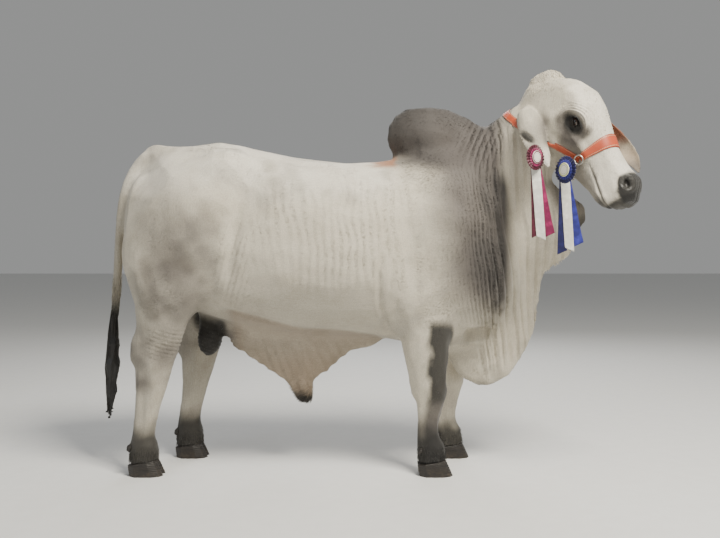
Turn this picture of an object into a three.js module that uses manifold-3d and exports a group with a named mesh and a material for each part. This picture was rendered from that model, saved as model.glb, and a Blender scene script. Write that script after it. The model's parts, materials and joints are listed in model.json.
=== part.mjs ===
// A Brahman bull at life size, standing on four feet with its head turned to its right.
// It wears a leather halter with a chin chain and two show rosettes with ribbon tails.
// Millimetres, +Z up. The bull faces +X and its left side is +Y.
//
// The flesh is one smooth implicit body, blended from named masses of muscle and bone.
// Each node is the skin of that body inside its own region, parted from its neighbours by thin cuts.
import * as THREE from 'three';
import { mergeVertices } from 'three/addons/utils/BufferGeometryUtils.js';
import Module from 'manifold-3d';

const wasm = await Module();
wasm.setup();

// Driving dimensions
const GAP = 0.3; // clearance between touching nodes
const FAR_FORE_STEP = 112; // how far the left forefoot stands ahead of the right one
const FAR_HIND_STEP = 135; // how far the left hind foot stands ahead of the right one
const STANCE = 168; // half the distance between left and right feet
const HEAD_YAW = 41; // degrees that the head turns to the right
const HEAD_PITCH = 60; // degrees that the bridge of the nose points down
const HEAD_AT = [735, -120, 1675]; // origin of the head's frame, between the ears
const EYE_AT = [246, 88, 104]; // in the head's frame, left eye
const EYE_RADIUS = 20;

const clamp = (v, low, high) => Math.min(high, Math.max(low, v));
const smoothstep = (a, b, v) => {
  const t = clamp((v - a) / (b - a), 0, 1);
  return t * t * (3 - 2 * t);
};

// Implicit masses: each is a function (x, y, z) => distance to its surface, negative inside

// Stations hold [x, y, z, up, down, wide]; the values between them follow a smooth cubic.
function samples(stations, steps) {
  const s = [0];
  for (let i = 1; i < stations.length; i++) {
    const [a, b] = [stations[i - 1], stations[i]];
    s.push(s[i - 1] + Math.hypot(b[0] - a[0], b[1] - a[1], b[2] - a[2]));
  }
  const slope = (i, k) => {
    const [low, high] = [Math.max(0, i - 1), Math.min(stations.length - 1, i + 1)];
    return (stations[high][k] - stations[low][k]) / (s[high] - s[low]);
  };
  const rows = [];
  for (let i = 0; i < stations.length - 1; i++) {
    const h = s[i + 1] - s[i];
    for (let j = 0; j < steps + (i === stations.length - 2); j++) {
      const t = j / steps;
      const [t2, t3] = [t * t, t * t * t];
      rows.push(stations[i].map((v, k) =>
        (2 * t3 - 3 * t2 + 1) * v + (t3 - 2 * t2 + t) * h * slope(i, k)
        + (3 * t2 - 2 * t3) * stations[i + 1][k] + (t3 - t2) * h * slope(i + 1, k)));
    }
  }
  return rows;
}

// An oval section swept along stations. Its up direction is the tangent crossed with side.
function sweep(stations, { side = [0, 1, 0], power = 2, cap = 0.8, steps = 4 } = {}) {
  const rows = samples(stations, steps);
  const count = rows.length - 1;
  const span = rows.slice(0, count).map((r, i) => [0, 1, 2].map((k) => rows[i + 1][k] - r[k]));
  const square = span.map((d) => d[0] * d[0] + d[1] * d[1] + d[2] * d[2]);
  const tangents = rows.map((r, i) => {
    const [a, b] = [rows[Math.max(0, i - 1)], rows[Math.min(count, i + 1)]];
    const t = new THREE.Vector3(b[0] - a[0], b[1] - a[1], b[2] - a[2]).normalize();
    const wide = new THREE.Vector3(...side);
    wide.addScaledVector(t, -wide.dot(t)).normalize();
    const up = new THREE.Vector3().crossVectors(t, wide);
    return [...t.toArray(), ...wide.toArray(), ...up.toArray()];
  });
  return (x, y, z) => {
    let best = Infinity;
    let at = 0;
    let share = 0;
    for (let i = 0; i < count; i++) {
      const [r, d] = [rows[i], span[i]];
      const [px, py, pz] = [x - r[0], y - r[1], z - r[2]];
      let t = (px * d[0] + py * d[1] + pz * d[2]) / square[i];
      t = t < 0 ? 0 : t > 1 ? 1 : t;
      const [ox, oy, oz] = [px - t * d[0], py - t * d[1], pz - t * d[2]];
      const far = ox * ox + oy * oy + oz * oz;
      if (far < best) {
        best = far;
        at = i;
        share = t;
      }
    }
    const [a, b, fa, fb] = [rows[at], rows[at + 1], tangents[at], tangents[at + 1]];
    const mix = (k) => a[k] + (b[k] - a[k]) * share;
    const axis = (k) => fa[k] + (fb[k] - fa[k]) * share;
    const [ox, oy, oz] = [x - mix(0), y - mix(1), z - mix(2)];
    const along = ox * axis(0) + oy * axis(1) + oz * axis(2);
    const across = ox * axis(3) + oy * axis(4) + oz * axis(5);
    const above = ox * axis(6) + oy * axis(7) + oz * axis(8);
    const wide = mix(5);
    const high = above > 0 ? mix(3) : mix(4);
    const end = (at === 0 && share === 0) || (at === count - 1 && share === 1);
    const q = (Math.abs(across / wide) ** power + Math.abs(above / high) ** power
      + (end ? Math.abs(along / (cap * Math.min(wide, high))) ** power : 0)) ** (1 / power);
    const reach = Math.sqrt(across * across + above * above + (end ? along * along : 0));
    return q < 1e-6 ? -Math.min(wide, high) : reach * (1 - 1 / q);
  };
}

// An ellipsoid; tilt turns its long axis down from +X, in degrees.
function ball(at, radii, tilt = 0) {
  const [c, s] = [Math.cos(THREE.MathUtils.degToRad(tilt)), Math.sin(THREE.MathUtils.degToRad(tilt))];
  return (x, y, z) => {
    const [px, py, pz] = [x - at[0], y - at[1], z - at[2]];
    const [u, w] = [px * c - pz * s, px * s + pz * c];
    const q = Math.hypot(u / radii[0], py / radii[1], w / radii[2]);
    return q < 1e-6 ? -Math.min(...radii) : Math.hypot(px, py, pz) * (1 - 1 / q);
  };
}

// A hanging fold of skin: an outline in the XZ plane, thin at its free edge and thicker inside.
// middle(x, z) gives the y of its mid surface, and edge and core its half thicknesses.
function fold(outline, { middle = () => 0, edge = 24, core = 60, fade = 220 }) {
  const curve = new THREE.CatmullRomCurve3(outline.map(([x, z]) => new THREE.Vector3(x, 0, z)), true);
  const points = curve.getPoints(outline.length * 3).slice(0, -1);
  return (x, y, z) => {
    let best = Infinity;
    let inside = false;
    for (let i = 0, j = points.length - 1; i < points.length; j = i++) {
      const [a, b] = [points[i], points[j]];
      const [ex, ez, px, pz] = [b.x - a.x, b.z - a.z, x - a.x, z - a.z];
      const t = clamp((px * ex + pz * ez) / (ex * ex + ez * ez), 0, 1);
      best = Math.min(best, (px - t * ex) ** 2 + (pz - t * ez) ** 2);
      if ((a.z > z) !== (b.z > z) && x < ((b.x - a.x) * (z - a.z)) / (b.z - a.z) + a.x) inside = !inside;
    }
    const depth = (inside ? 1 : -1) * Math.sqrt(best);
    const thick = edge + (core - edge) * smoothstep(0, fade, depth);
    const off = Math.abs(y - middle(x, z));
    const [u, v] = [Math.max(0, edge - depth), off - thick + edge];
    return depth > edge ? off - thick : Math.hypot(u, Math.max(0, v)) - edge;
  };
}

const blend = (k, ...fields) => (x, y, z) => fields.reduce((d, f) => {
  const e = typeof f === 'number' ? f : f(x, y, z);
  const h = Math.max(0, k - Math.abs(d - e)) / k;
  return Math.min(d, e) - (h * h * k) / 4;
}, Infinity);
const hollow = (k, field, cut) => (x, y, z) => {
  const [d, e] = [field(x, y, z), -cut(x, y, z)];
  const h = Math.max(0, k - Math.abs(d - e)) / k;
  return Math.max(d, e) + (h * h * k) / 4;
};
const paired = (field) => (x, y, z) => field(x, Math.abs(y), z);

// The head's frame: +X along the bridge of the nose, +Z out of the forehead, +Y to its left
const [yaw, pitch] = [THREE.MathUtils.degToRad(HEAD_YAW), THREE.MathUtils.degToRad(HEAD_PITCH)];
const headX = new THREE.Vector3(
  Math.cos(pitch) * Math.cos(yaw), -Math.cos(pitch) * Math.sin(yaw), -Math.sin(pitch));
const headY = new THREE.Vector3(Math.sin(yaw), Math.cos(yaw), 0);
const headZ = new THREE.Vector3().crossVectors(headX, headY);
const headFrame = new THREE.Matrix4().makeBasis(headX, headY, headZ).setPosition(...HEAD_AT);
const headBack = headFrame.clone().invert();
const inHead = (field) => {
  const m = headBack.elements;
  return (x, y, z) => field(
    m[0] * x + m[4] * y + m[8] * z + m[12],
    m[1] * x + m[5] * y + m[9] * z + m[13],
    m[2] * x + m[6] * y + m[10] * z + m[14]);
};
const fromHead = (p) => new THREE.Vector3(...p).applyMatrix4(headFrame);

// Trunk: the barrel from the pins to the point of the shoulder
const trunk = sweep([
  [-1036, 0, 1190, 158, 180, 125],
  [-962, 0, 1172, 262, 320, 200],
  [-800, 0, 1130, 344, 400, 262],
  [-650, 0, 1100, 357, 430, 282],
  [-500, 0, 1050, 375, 425, 318],
  [-300, 0, 1000, 389, 402, 352],
  [-100, 0, 990, 381, 392, 352],
  [60, 0, 990, 395, 405, 330],
  [200, 0, 985, 415, 430, 306],
  [350, 0, 985, 410, 440, 288],
  [480, 0, 990, 370, 400, 250],
  [565, 0, 1000, 290, 300, 190],
], { power: 2.25, cap: 0.6 });
const hooks = paired(ball([-640, 205, 1330], [95, 62, 80]));
const haunch = paired(ball([-800, 190, 1120], [190, 118, 230], 25));
const shoulder = paired(ball([330, 205, 1010], [190, 100, 300], -14));
const shoulderPoint = paired(ball([500, 160, 900], [110, 88, 150]));
const loinHollow = paired(ball([-555, 372, 1215], [120, 70, 105]));

// Hump: a rear lobe that hangs back, the crown and the slope down to the neck
const hump = blend(60,
  ball([182, 0, 1512], [106, 94, 100]),
  ball([276, 0, 1478], [198, 112, 146]),
  ball([410, 0, 1444], [140, 94, 108], 18));
const tailHead = ball([-930, 0, 1388], [112, 60, 70], 26);

// Neck and its skin: the sagittal surface bends to the right towards the head
const swing = (x, z) => -0.44 * Math.max(0, x - 500) * smoothstep(760, 1050, z);
const neck = sweep([
  [400, 0, 1190, 290, 270, 232],
  [520, -18, 1300, 232, 240, 190],
  [640, -62, 1420, 174, 205, 152],
  [725, -105, 1515, 146, 175, 128],
  [765, -130, 1575, 110, 140, 112],
], { power: 2.1 });
const pleat = (x, z) => 9 * Math.sin(x / 15 + z / 190) * smoothstep(900, 620, z) * smoothstep(420, 560, x);
const dewlapOutline = [
  [330, 560], [353, 467], [387, 416], [440, 375], [503, 360], [560, 372], [614, 402], [673, 480],
  [718, 561], [747, 645], [756, 750], [768, 850], [800, 905], [862, 945], [876, 1010], [900, 1075],
  [930, 1135], [890, 1200], [800, 1262], [680, 1330], [500, 1180], [350, 800],
];
const dewlap = fold(dewlapOutline, {
  middle: (x, z) => swing(x, z) + pleat(x, z), edge: 22, core: 74, fade: 250,
});

// Sheath: the pendulous apron under the belly, ending in the prepuce
const sheathOutline = [
  [-700, 640], [-640, 545], [-560, 487], [-480, 435], [-410, 388], [-360, 330], [-318, 300],
  [-285, 330], [-265, 392], [-212, 418], [-160, 468], [-90, 520], [30, 560],
  [0, 720], [-350, 760], [-650, 740],
];
const sheath = blend(25,
  fold(sheathOutline, { edge: 22, core: 78, fade: 200 }),
  sweep([[-335, 0, 400, 40, 44, 40], [-312, 0, 340, 34, 36, 34], [-297, 0, 298, 26, 27, 28]], { cap: 0.5 }));

// Legs: stations hold the front, rear and side radii; step moves the lower leg forward
const foreleg = (side, step) => sweep([
  [225, 200, 800, 135, 140, 95],
  [221, 192, 650, 106, 106, 88],
  [231, 182, 522, 98, 100, 77],
  [238, 176, 440, 86, 86, 66],
  [243, 172, 375, 76, 74, 57],
  [246, 170, 318, 66, 62, 52],
  [241, 168, 262, 53, 52, 43],
  [238, 168, 200, 47, 47, 40],
  [241, 168, 150, 50, 52, 44],
  [248, 168, 112, 58, 60, 52],
  [256, 168, 80, 58, 62, 58],
  [262, 168, 40, 62, 66, 62],
].map(([x, y, z, ...r]) => [x + step * smoothstep(900, 560, z), side * (y + STANCE - 168), z, ...r]));
const hindleg = (side, step) => sweep([
  [-868, 105, 1140, 150, 206, 130],
  [-880, 140, 1000, 190, 222, 142],
  [-888, 160, 880, 188, 204, 136],
  [-902, 170, 780, 158, 160, 114],
  [-922, 172, 690, 116, 114, 88],
  [-938, 170, 600, 104, 100, 66],
  [-948, 168, 530, 92, 106, 55],
  [-956, 168, 470, 82, 88, 51],
  [-966, 168, 410, 70, 74, 48],
  [-980, 168, 330, 58, 62, 44],
  [-994, 168, 250, 51, 54, 41],
  [-1002, 168, 180, 50, 53, 43],
  [-1004, 168, 125, 60, 62, 56],
  [-1003, 168, 85, 62, 64, 58],
  [-1000, 168, 40, 64, 68, 62],
].map(([x, y, z, ...r]) => [x + step * smoothstep(980, 600, z), side * (y + STANCE - 168), z, ...r]));
const kneeForm = (side, step) => blend(20,
  ball([256 + step, side * STANCE, 372], [62, 60, 66]),
  ball([182 + step, side * STANCE, 384], [24, 22, 38]),
  ball([258 + step, side * STANCE, 116], [52, 56, 34]));
const hockForm = (side, step) => blend(20,
  ball([-1040 + step, side * (STANCE - 2), 552], [26, 22, 74], 10),
  ball([-956 + step, side * STANCE, 496], [62, 56, 74]),
  ball([-1000 + step, side * STANCE, 120], [54, 57, 34]));
const legs = {
  foreleg_right: blend(26, foreleg(-1, 0), kneeForm(-1, 0)),
  foreleg_left: blend(26, foreleg(1, FAR_FORE_STEP), kneeForm(1, FAR_FORE_STEP)),
  hindleg_right: blend(26, hindleg(-1, 0), hockForm(-1, 0)),
  hindleg_left: blend(26, hindleg(1, FAR_HIND_STEP), hockForm(1, FAR_HIND_STEP)),
};

// Head, in its own frame
const cranium = sweep([
  [-22, 0, 40, 50, 66, 78],
  [20, 0, 30, 106, 118, 106],
  [80, 0, 28, 152, 148, 119],
  [150, 0, 28, 178, 148, 122],
  [215, 0, 38, 176, 138, 113],
  [290, 0, 52, 155, 122, 94],
  [370, 0, 68, 117, 110, 80],
  [450, 0, 80, 92, 100, 73],
  [528, 0, 86, 86, 80, 77],
  [588, 0, 88, 82, 64, 80],
  [618, 0, 86, 64, 48, 68],
], { power: 2.3, cap: 0.55 });
const jawBone = sweep([
  [95, 0, -88, 60, 66, 70],
  [200, 0, -80, 60, 54, 66],
  [320, 0, -42, 58, 42, 56],
  [440, 0, 0, 52, 38, 50],
  [545, 0, 32, 44, 32, 54],
  [588, 0, 42, 34, 26, 48],
], { cap: 0.6 });
const poll = ball([4, 0, 72], [58, 72, 44]);
const brow = paired(ball([226, 80, 144], [78, 38, 32], 6));
const cheek = paired(ball([165, 78, -38], [112, 42, 90], -12));
const cheekbone = paired(ball([300, 72, 62], [84, 24, 30], -8));
const upperLip = paired(ball([568, 44, 44], [56, 42, 40], -12));
const socket = paired(ball([262, 122, 98], [44, 26, 28], -10));
const temple = paired(ball([120, 140, 92], [70, 30, 42]));
const headLocal = hollow(18, hollow(30,
  blend(36, cranium, jawBone, poll, brow, cheek, cheekbone, upperLip), temple), socket);
const head = inHead(headLocal);

const softTrunk = hollow(60, blend(70, trunk, hooks, haunch, shoulder, shoulderPoint, tailHead), loinHollow);
// A mass is only worked out near its own box; further off the distance to that box stands in for it.
const near = (field, low, high) => (x, y, z) => {
  const out = Math.hypot(
    Math.max(0, low[0] - x, x - high[0]), Math.max(0, low[1] - y, y - high[1]),
    Math.max(0, low[2] - z, z - high[2]));
  return out > 0 ? out + 110 : field(x, y, z);
};
const masses = [
  [60, near(neck, [80, -400, 780], [1000, 350, 1960])],
  [42, near(hump, [-60, -250, 1200], [680, 250, 1760])],
  [60, near(dewlap, [130, -420, 230], [1080, 260, 1480])],
  [50, near(sheath, [-830, -210, 150], [160, 210, 900])],
  [55, near(legs.foreleg_right, [-60, -420, -60], [500, 40, 1080])],
  [55, near(legs.foreleg_left, [-60, -40, -60], [620, 420, 1080])],
  [60, near(legs.hindleg_right, [-1260, -430, -60], [-560, 140, 1420])],
  [60, near(legs.hindleg_left, [-1260, -140, -60], [-440, 430, 1420])],
  [50, near(head, [480, -640, 960], [1240, 220, 1960])],
];
const body = (x, y, z) => {
  let d = softTrunk(x, y, z);
  for (const [k, mass] of masses) {
    const e = mass(x, y, z);
    const h = Math.max(0, k - Math.abs(d - e)) / k;
    d = Math.min(d, e) - (h * h * k) / 4;
  }
  return d;
};

// Skin: the surface of a field inside a box of a frame, one vertex a cell, moved onto the surface
const spaced = (low, high, step) => {
  const n = Math.max(2, Math.round((high - low) / step));
  return Array.from({ length: n + 1 }, (_, i) => low + ((high - low) * i) / n);
};

function skin(field, { low, high, cell, frame = new THREE.Matrix4(), loose = 6 }) {
  const grid = [0, 1, 2].map((k) => spaced(low[k], high[k], cell[k]));
  const [nx, ny, nz] = grid.map((g) => g.length);
  const m = frame.elements;
  const worldX = (x, y, z) => m[0] * x + m[4] * y + m[8] * z + m[12];
  const worldY = (x, y, z) => m[1] * x + m[5] * y + m[9] * z + m[13];
  const worldZ = (x, y, z) => m[2] * x + m[6] * y + m[10] * z + m[14];
  const value = (x, y, z) => field(worldX(x, y, z), worldY(x, y, z), worldZ(x, y, z));
  const values = new Float64Array(nx * ny * nz);
  const index = (i, j, k) => (k * ny + j) * nx + i;
  const rim = (i, j, k) => i === 0 || j === 0 || k === 0 || i === nx - 1 || j === ny - 1 || k === nz - 1;
  for (let k = 0; k < nz; k++) {
    for (let j = 0; j < ny; j++) {
      for (let i = 0; i < nx; i++) {
        const v = value(grid[0][i], grid[1][j], grid[2][k]);
        values[index(i, j, k)] = rim(i, j, k) ? Math.max(v, Math.min(...cell) / 2) : v;
      }
    }
  }
  const corners = [0, 1, 2, 3, 4, 5, 6, 7].map((c) => [c & 1, (c >> 1) & 1, c >> 2]);
  const edges = [];
  corners.forEach((a, i) => corners.forEach((b, j) => {
    const steps = Math.abs(a[0] - b[0]) + Math.abs(a[1] - b[1]) + Math.abs(a[2] - b[2]);
    if (i < j && steps === 1) edges.push([i, j]);
  }));
  const cellVertex = new Int32Array(nx * ny * nz).fill(-1);
  const local = [];
  for (let k = 0; k < nz - 1; k++) {
    for (let j = 0; j < ny - 1; j++) {
      for (let i = 0; i < nx - 1; i++) {
        const v = corners.map(([a, b, c]) => values[index(i + a, j + b, k + c)]);
        if (v.every((d) => d < 0) || v.every((d) => d >= 0)) continue;
        const p = [0, 0, 0];
        let crossings = 0;
        for (const [a, b] of edges) {
          if (v[a] < 0 === v[b] < 0) continue;
          const t = v[a] / (v[a] - v[b]);
          for (let n = 0; n < 3; n++) p[n] += corners[a][n] + (corners[b][n] - corners[a][n]) * t;
          crossings++;
        }
        const at = [i, j, k].map((n, axis) => {
          const g = grid[axis];
          return g[n] + (p[axis] / crossings) * (g[n + 1] - g[n]);
        });
        const free = i > 0 && j > 0 && k > 0 && i < nx - 2 && j < ny - 2 && k < nz - 2;
        for (let turn = 0; free && turn < 2; turn++) {
          const d = value(...at);
          const e = 0.5;
          const g = [
            value(at[0] + e, at[1], at[2]) - d,
            value(at[0], at[1] + e, at[2]) - d,
            value(at[0], at[1], at[2] + e) - d,
          ].map((n) => n / e);
          const steep = Math.max(0.25, g[0] * g[0] + g[1] * g[1] + g[2] * g[2]);
          for (let n = 0; n < 3; n++) at[n] -= clamp((d * g[n]) / steep, -cell[n] / 3, cell[n] / 3);
        }
        cellVertex[index(i, j, k)] = local.length / 3;
        local.push(...at);
      }
    }
  }
  const tris = [];
  const apart = (a, b) => Math.hypot(
    local[3 * a] - local[3 * b], local[3 * a + 1] - local[3 * b + 1], local[3 * a + 2] - local[3 * b + 2]);
  const quad = (a, b, c, d) => {
    if (apart(a, c) < apart(b, d)) tris.push(a, b, c, a, c, d);
    else tris.push(b, c, d, b, d, a);
  };
  for (let k = 0; k < nz - 1; k++) {
    for (let j = 0; j < ny - 1; j++) {
      for (let i = 0; i < nx - 1; i++) {
        const here = values[index(i, j, k)] < 0;
        const around = (a, b) => [index(i - a[0] - b[0], j - a[1] - b[1], k - a[2] - b[2]),
          index(i - b[0], j - b[1], k - b[2]), index(i, j, k), index(i - a[0], j - a[1], k - a[2])]
          .map((n) => cellVertex[n]);
        const [X, Y, Z] = [[1, 0, 0], [0, 1, 0], [0, 0, 1]];
        for (const [next, a, b] of [[X, Y, Z], [Y, Z, X], [Z, X, Y]]) {
          if ([i, j, k].some((n, axis) => n === 0 && next[axis] === 0)) continue;
          if (values[index(i + next[0], j + next[1], k + next[2])] < 0 === here) continue;
          const q = around(a, b);
          quad(...(here ? q : q.reverse()));
        }
      }
    }
  }
  const world = new Float32Array(local.length);
  for (let i = 0; i < local.length; i += 3) {
    const [x, y, z] = [local[i], local[i + 1], local[i + 2]];
    world.set([worldX(x, y, z), worldY(x, y, z), worldZ(x, y, z)], i);
  }
  const shape = new wasm.Manifold(
    new wasm.Mesh({ numProp: 3, vertProperties: world, triVerts: new Uint32Array(tris) }));
  return shape.simplify(loose);
}

// Solids and regions
function closed(positions, faces) {
  let volume = 0;
  const at = (i) => positions[i];
  for (const [a, b, c] of faces) {
    const [p, q, r] = [at(a), at(b), at(c)];
    volume += p[0] * (q[1] * r[2] - q[2] * r[1]) + p[1] * (q[2] * r[0] - q[0] * r[2])
      + p[2] * (q[0] * r[1] - q[1] * r[0]);
  }
  const turned = volume < 0 ? faces.map(([a, b, c]) => [a, c, b]) : faces;
  return new wasm.Manifold(new wasm.Mesh({
    numProp: 3,
    vertProperties: new Float32Array(positions.flat()),
    triVerts: new Uint32Array(turned.flat()),
  }));
}

function solid(geometry) {
  const bare = geometry.clone();
  bare.deleteAttribute('normal');
  bare.deleteAttribute('uv');
  const merged = mergeVertices(bare, 1e-3);
  const p = merged.attributes.position;
  const positions = Array.from({ length: p.count }, (_, i) => [p.getX(i), p.getY(i), p.getZ(i)]);
  const index = merged.index.array;
  const faces = Array.from({ length: index.length / 3 }, (_, i) => [...index.slice(3 * i, 3 * i + 3)]);
  return closed(positions, faces.filter(([a, b, c]) => a !== b && b !== c && c !== a));
}

// A closed body through rings of points that all have the same count
function loft(rings) {
  const n = rings[0].length;
  const middle = (ring) => ring.reduce((m, p) => m.map((v, k) => v + p[k] / n), [0, 0, 0]);
  const positions = [...rings.flat(), middle(rings[0]), middle(rings.at(-1))];
  const faces = [];
  rings.slice(1).forEach((_, r) => {
    for (let i = 0; i < n; i++) {
      const [a, b] = [r * n + i, r * n + ((i + 1) % n)];
      faces.push([a, b, b + n], [a, b + n, a + n]);
    }
  });
  const [first, last] = [positions.length - 2, (rings.length - 1) * n];
  for (let i = 0; i < n; i++) {
    faces.push([first, (i + 1) % n, i], [first + 1, last + i, last + ((i + 1) % n)]);
  }
  return closed(positions, faces);
}

// A tube with an oval section along stations, as in sweep
function tube(stations, { side = [0, 1, 0], steps = 2, sides = 10 } = {}) {
  const rows = samples(stations, steps);
  return loft(rows.map((r, i) => {
    const [a, b] = [rows[Math.max(0, i - 1)], rows[Math.min(rows.length - 1, i + 1)]];
    const t = new THREE.Vector3(b[0] - a[0], b[1] - a[1], b[2] - a[2]).normalize();
    const wide = new THREE.Vector3(...side);
    wide.addScaledVector(t, -wide.dot(t)).normalize();
    const up = new THREE.Vector3().crossVectors(t, wide);
    return Array.from({ length: sides }, (_, k) => {
      const angle = (2 * Math.PI * (k + 0.5)) / sides;
      const [c, s] = [Math.cos(angle) * r[5], Math.sin(angle) * (Math.sin(angle) > 0 ? r[3] : r[4])];
      return [0, 1, 2].map((n) => r[n] + wide.getComponent(n) * c + up.getComponent(n) * s);
    });
  }));
}

// The same body with every face moved out by a distance
function swell(shape, by) {
  const mesh = shape.getMesh();
  const [v, t, stride] = [mesh.vertProperties, mesh.triVerts, mesh.numProp];
  const count = v.length / stride;
  const points = Array.from({ length: count }, (_, i) => new THREE.Vector3().fromArray(v, i * stride));
  const faces = Array.from({ length: t.length / 3 }, (_, i) => [t[3 * i], t[3 * i + 1], t[3 * i + 2]]);
  const sums = points.map(() => new THREE.Vector3());
  const normals = faces.map(([a, b, c]) => new THREE.Vector3().crossVectors(
    points[b].clone().sub(points[a]), points[c].clone().sub(points[a])).normalize());
  faces.forEach((f, i) => f.forEach((p, k) => {
    const [u, w] = [1, 2].map((next) => points[f[(k + next) % 3]].clone().sub(points[p]));
    sums[p].addScaledVector(normals[i], u.angleTo(w));
  }));
  sums.forEach((n) => n.normalize());
  const least = points.map(() => 1);
  faces.forEach((f, i) => f.forEach((p) => { least[p] = Math.min(least[p], sums[p].dot(normals[i])); }));
  return closed(points.map((p, i) =>
    p.clone().addScaledVector(sums[i], by / Math.max(0.5, least[i])).toArray()), faces);
}

// A half space keeps the points ahead of a plane through a point; flip keeps the others.
const ahead = (normal, point) => {
  const n = new THREE.Vector3(...normal).normalize();
  return { n: n.toArray(), d: n.dot(new THREE.Vector3(...point)) };
};
const flip = ({ n, d }) => ({ n: n.map((v) => -v), d: -d });
const trim = (shape, planes, grow = -GAP / 2) =>
  planes.reduce((s, { n, d }) => s.trimByPlane(n, d - grow), shape);
const space = () => solid(new THREE.BoxGeometry(6000, 6000, 6000));
const region = (planes) => trim(space(), planes, GAP / 2);
const inHeadFrame = (normal, point) => {
  const n = new THREE.Vector3(...normal).transformDirection(headFrame);
  return ahead(n.toArray(), fromHead(point).toArray());
};
const boxPlanes = (low, high) => [0, 1, 2].flatMap((k) => {
  const n = [0, 0, 0];
  n[k] = 1;
  return [ahead(n, low), flip(ahead(n, high))];
});
const largest = (shape) => shape.decompose().reduce((a, b) => (b.volume() > a.volume() ? b : a));
const minus = (shape, ...others) => others.reduce((s, o) => s.subtract(o), shape);
const clear = (shape, ...others) => minus(shape, ...others.map((o) => swell(o, GAP)));
const join = (...shapes) => shapes.reduce((s, o) => s.add(o));

// Cuts between the nodes of flesh
const rumpCut = ahead([1, 0, 0], [-560, 0, 0]);
const chestCut = ahead([1, 0, 0], [20, 0, 0]);
const neckCut = ahead([630, 0, 132], [508, 0, 1530]);
const headCut = inHeadFrame([0.75, 0, 0.66], [-75, 0, -30]);
const jawCut = inHeadFrame([-0.27, 0, 0.96], [90, 0, -172]);
const mouthCut = inHeadFrame([0.1, 0, -1], [600, 0, 42]);
const lipCut = inHeadFrame([0.82, 0, -0.57], [470, 0, 26]);
const notchCut = ahead([0, 0, 1], [0, 0, 893]);
const throatCut = ahead([0.95, 0, -0.3], [655, 0, 893]);
const brisketCut = ahead([0.6, 0, -0.8], [560, 0, 700]);
const kneeCut = ahead([0, 0, 1], [0, 0, 385]);
const hockCut = ahead([0, 0, 1], [0, 0, 520]);
const coronet = (x) => ahead([-0.16, 0, 1], [x, 0, 60]);

const headRegion = [headCut, jawCut];
const sided = (side, low, high) => (side > 0 ? [low, high] : [-high, -low]);
const legBox = (pair, side) => {
  const [a, b] = sided(side, pair === 'fore' ? 74 : 1, 520);
  return pair === 'fore' ? boxPlanes([20, a, -50], [520, b, 640])
    : boxPlanes([-1400, a, -50], [side > 0 ? -500 : -600, b, 745]);
};
const humpRegion = [
  ahead([-0.26, 0, 1], [280, 0, 1440]), ahead([1, 0, 0.1], [20, 0, 1400]), flip(neckCut),
];
const sheathRegion = boxPlanes([-760, -200, 0], [75, 200, 590]);
const throatRegion = [throatCut, notchCut, flip(jawCut)];
const brisketRegion = [brisketCut, ahead([1, 0, 0], [200, 0, 0]), flip(notchCut)];
const collarRegion = [neckCut, flip(notchCut)];

const group = new THREE.Group();
group.name = 'brahman_bull';
const shades = {
  hide: { color: 0xd6cfbf, roughness: 0.8 },
  darkHide: { color: 0x6d645b, roughness: 0.8 },
  black: { color: 0x17150f, roughness: 0.75 },
  horn: { color: 0x2a2622, roughness: 0.5 },
  eye: { color: 0x120d0a, roughness: 0.1 },
  leather: { color: 0xc4512f, roughness: 0.5 },
  steel: { color: 0xa9abad, roughness: 0.3, metalness: 1 },
  burgundy: { color: 0x7a1140, roughness: 0.45 },
  navy: { color: 0x1d2480, roughness: 0.45 },
  white: { color: 0xe8e6df, roughness: 0.45 },
  magenta: { color: 0xc2186a, roughness: 0.45 },
  blue: { color: 0x2a35b8, roughness: 0.45 },
};
function add(name, shape, shade) {
  const one = largest(shape).simplify(0.03);
  const mesh = one.getMesh();
  const geometry = new THREE.BufferGeometry()
    .setAttribute('position', new THREE.BufferAttribute(new Float32Array(mesh.vertProperties), 3))
    .setIndex(new THREE.BufferAttribute(new Uint32Array(mesh.triVerts), 1));
  geometry.computeVertexNormals();
  const node = new THREE.Mesh(geometry, new THREE.MeshStandardMaterial(shades[shade]));
  node.name = name;
  group.add(node);
  return one;
}

// Head and lower jaw, with the mouth line, nostrils, eyelids and sockets
const headSkin = skin(body, {
  frame: headFrame, low: [-110, -170, -230], high: [690, 170, 240], cell: [22, 18, 19], loose: 3.2,
});
const ellipsoid = (at, radii, [segments, rows] = [12, 8], turn = [0, 0, 0]) => solid(
  new THREE.SphereGeometry(1, segments, rows).scale(...radii)
    .rotateX(turn[0]).rotateY(turn[1]).rotateZ(turn[2]).translate(...at).applyMatrix4(headFrame));
const bothSides = (make) => [make(-1), make(1)];
const eyeballs = bothSides((side) => ellipsoid(
  [EYE_AT[0], side * EYE_AT[1], EYE_AT[2]], [EYE_RADIUS, EYE_RADIUS, EYE_RADIUS], [12, 8]));
const lids = bothSides((side) => ellipsoid(
  [EYE_AT[0], side * (EYE_AT[1] + 1), EYE_AT[2]], [EYE_RADIUS + 9, EYE_RADIUS + 5, EYE_RADIUS + 6], [12, 8]));
const slits = bothSides((side) => ellipsoid(
  [EYE_AT[0] + 1, side * (EYE_AT[1] + 32), EYE_AT[2] - 1], [17.5, 36, 10], [10, 6]));
const nostrils = bothSides((side) => ellipsoid(
  [577, side * 50, 151], [26, 19, 17], [10, 8], [0, 0.2, side * 0.35]));
const groove = trim(space(), [mouthCut], 3.5).trimByPlane(mouthCut.n.map((v) => -v), -mouthCut.d - 3.5)
  .trimByPlane(lipCut.n, lipCut.d - 4).subtract(swell(headSkin, -8));
const whole = minus(join(trim(headSkin, headRegion), ...lids.map((l) => trim(l, headRegion))),
  ...eyeballs.map((e) => swell(e, GAP)), ...slits, ...nostrils, groove);
const headSolid = add('head', minus(whole, region([mouthCut, lipCut])), 'hide');
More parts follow.
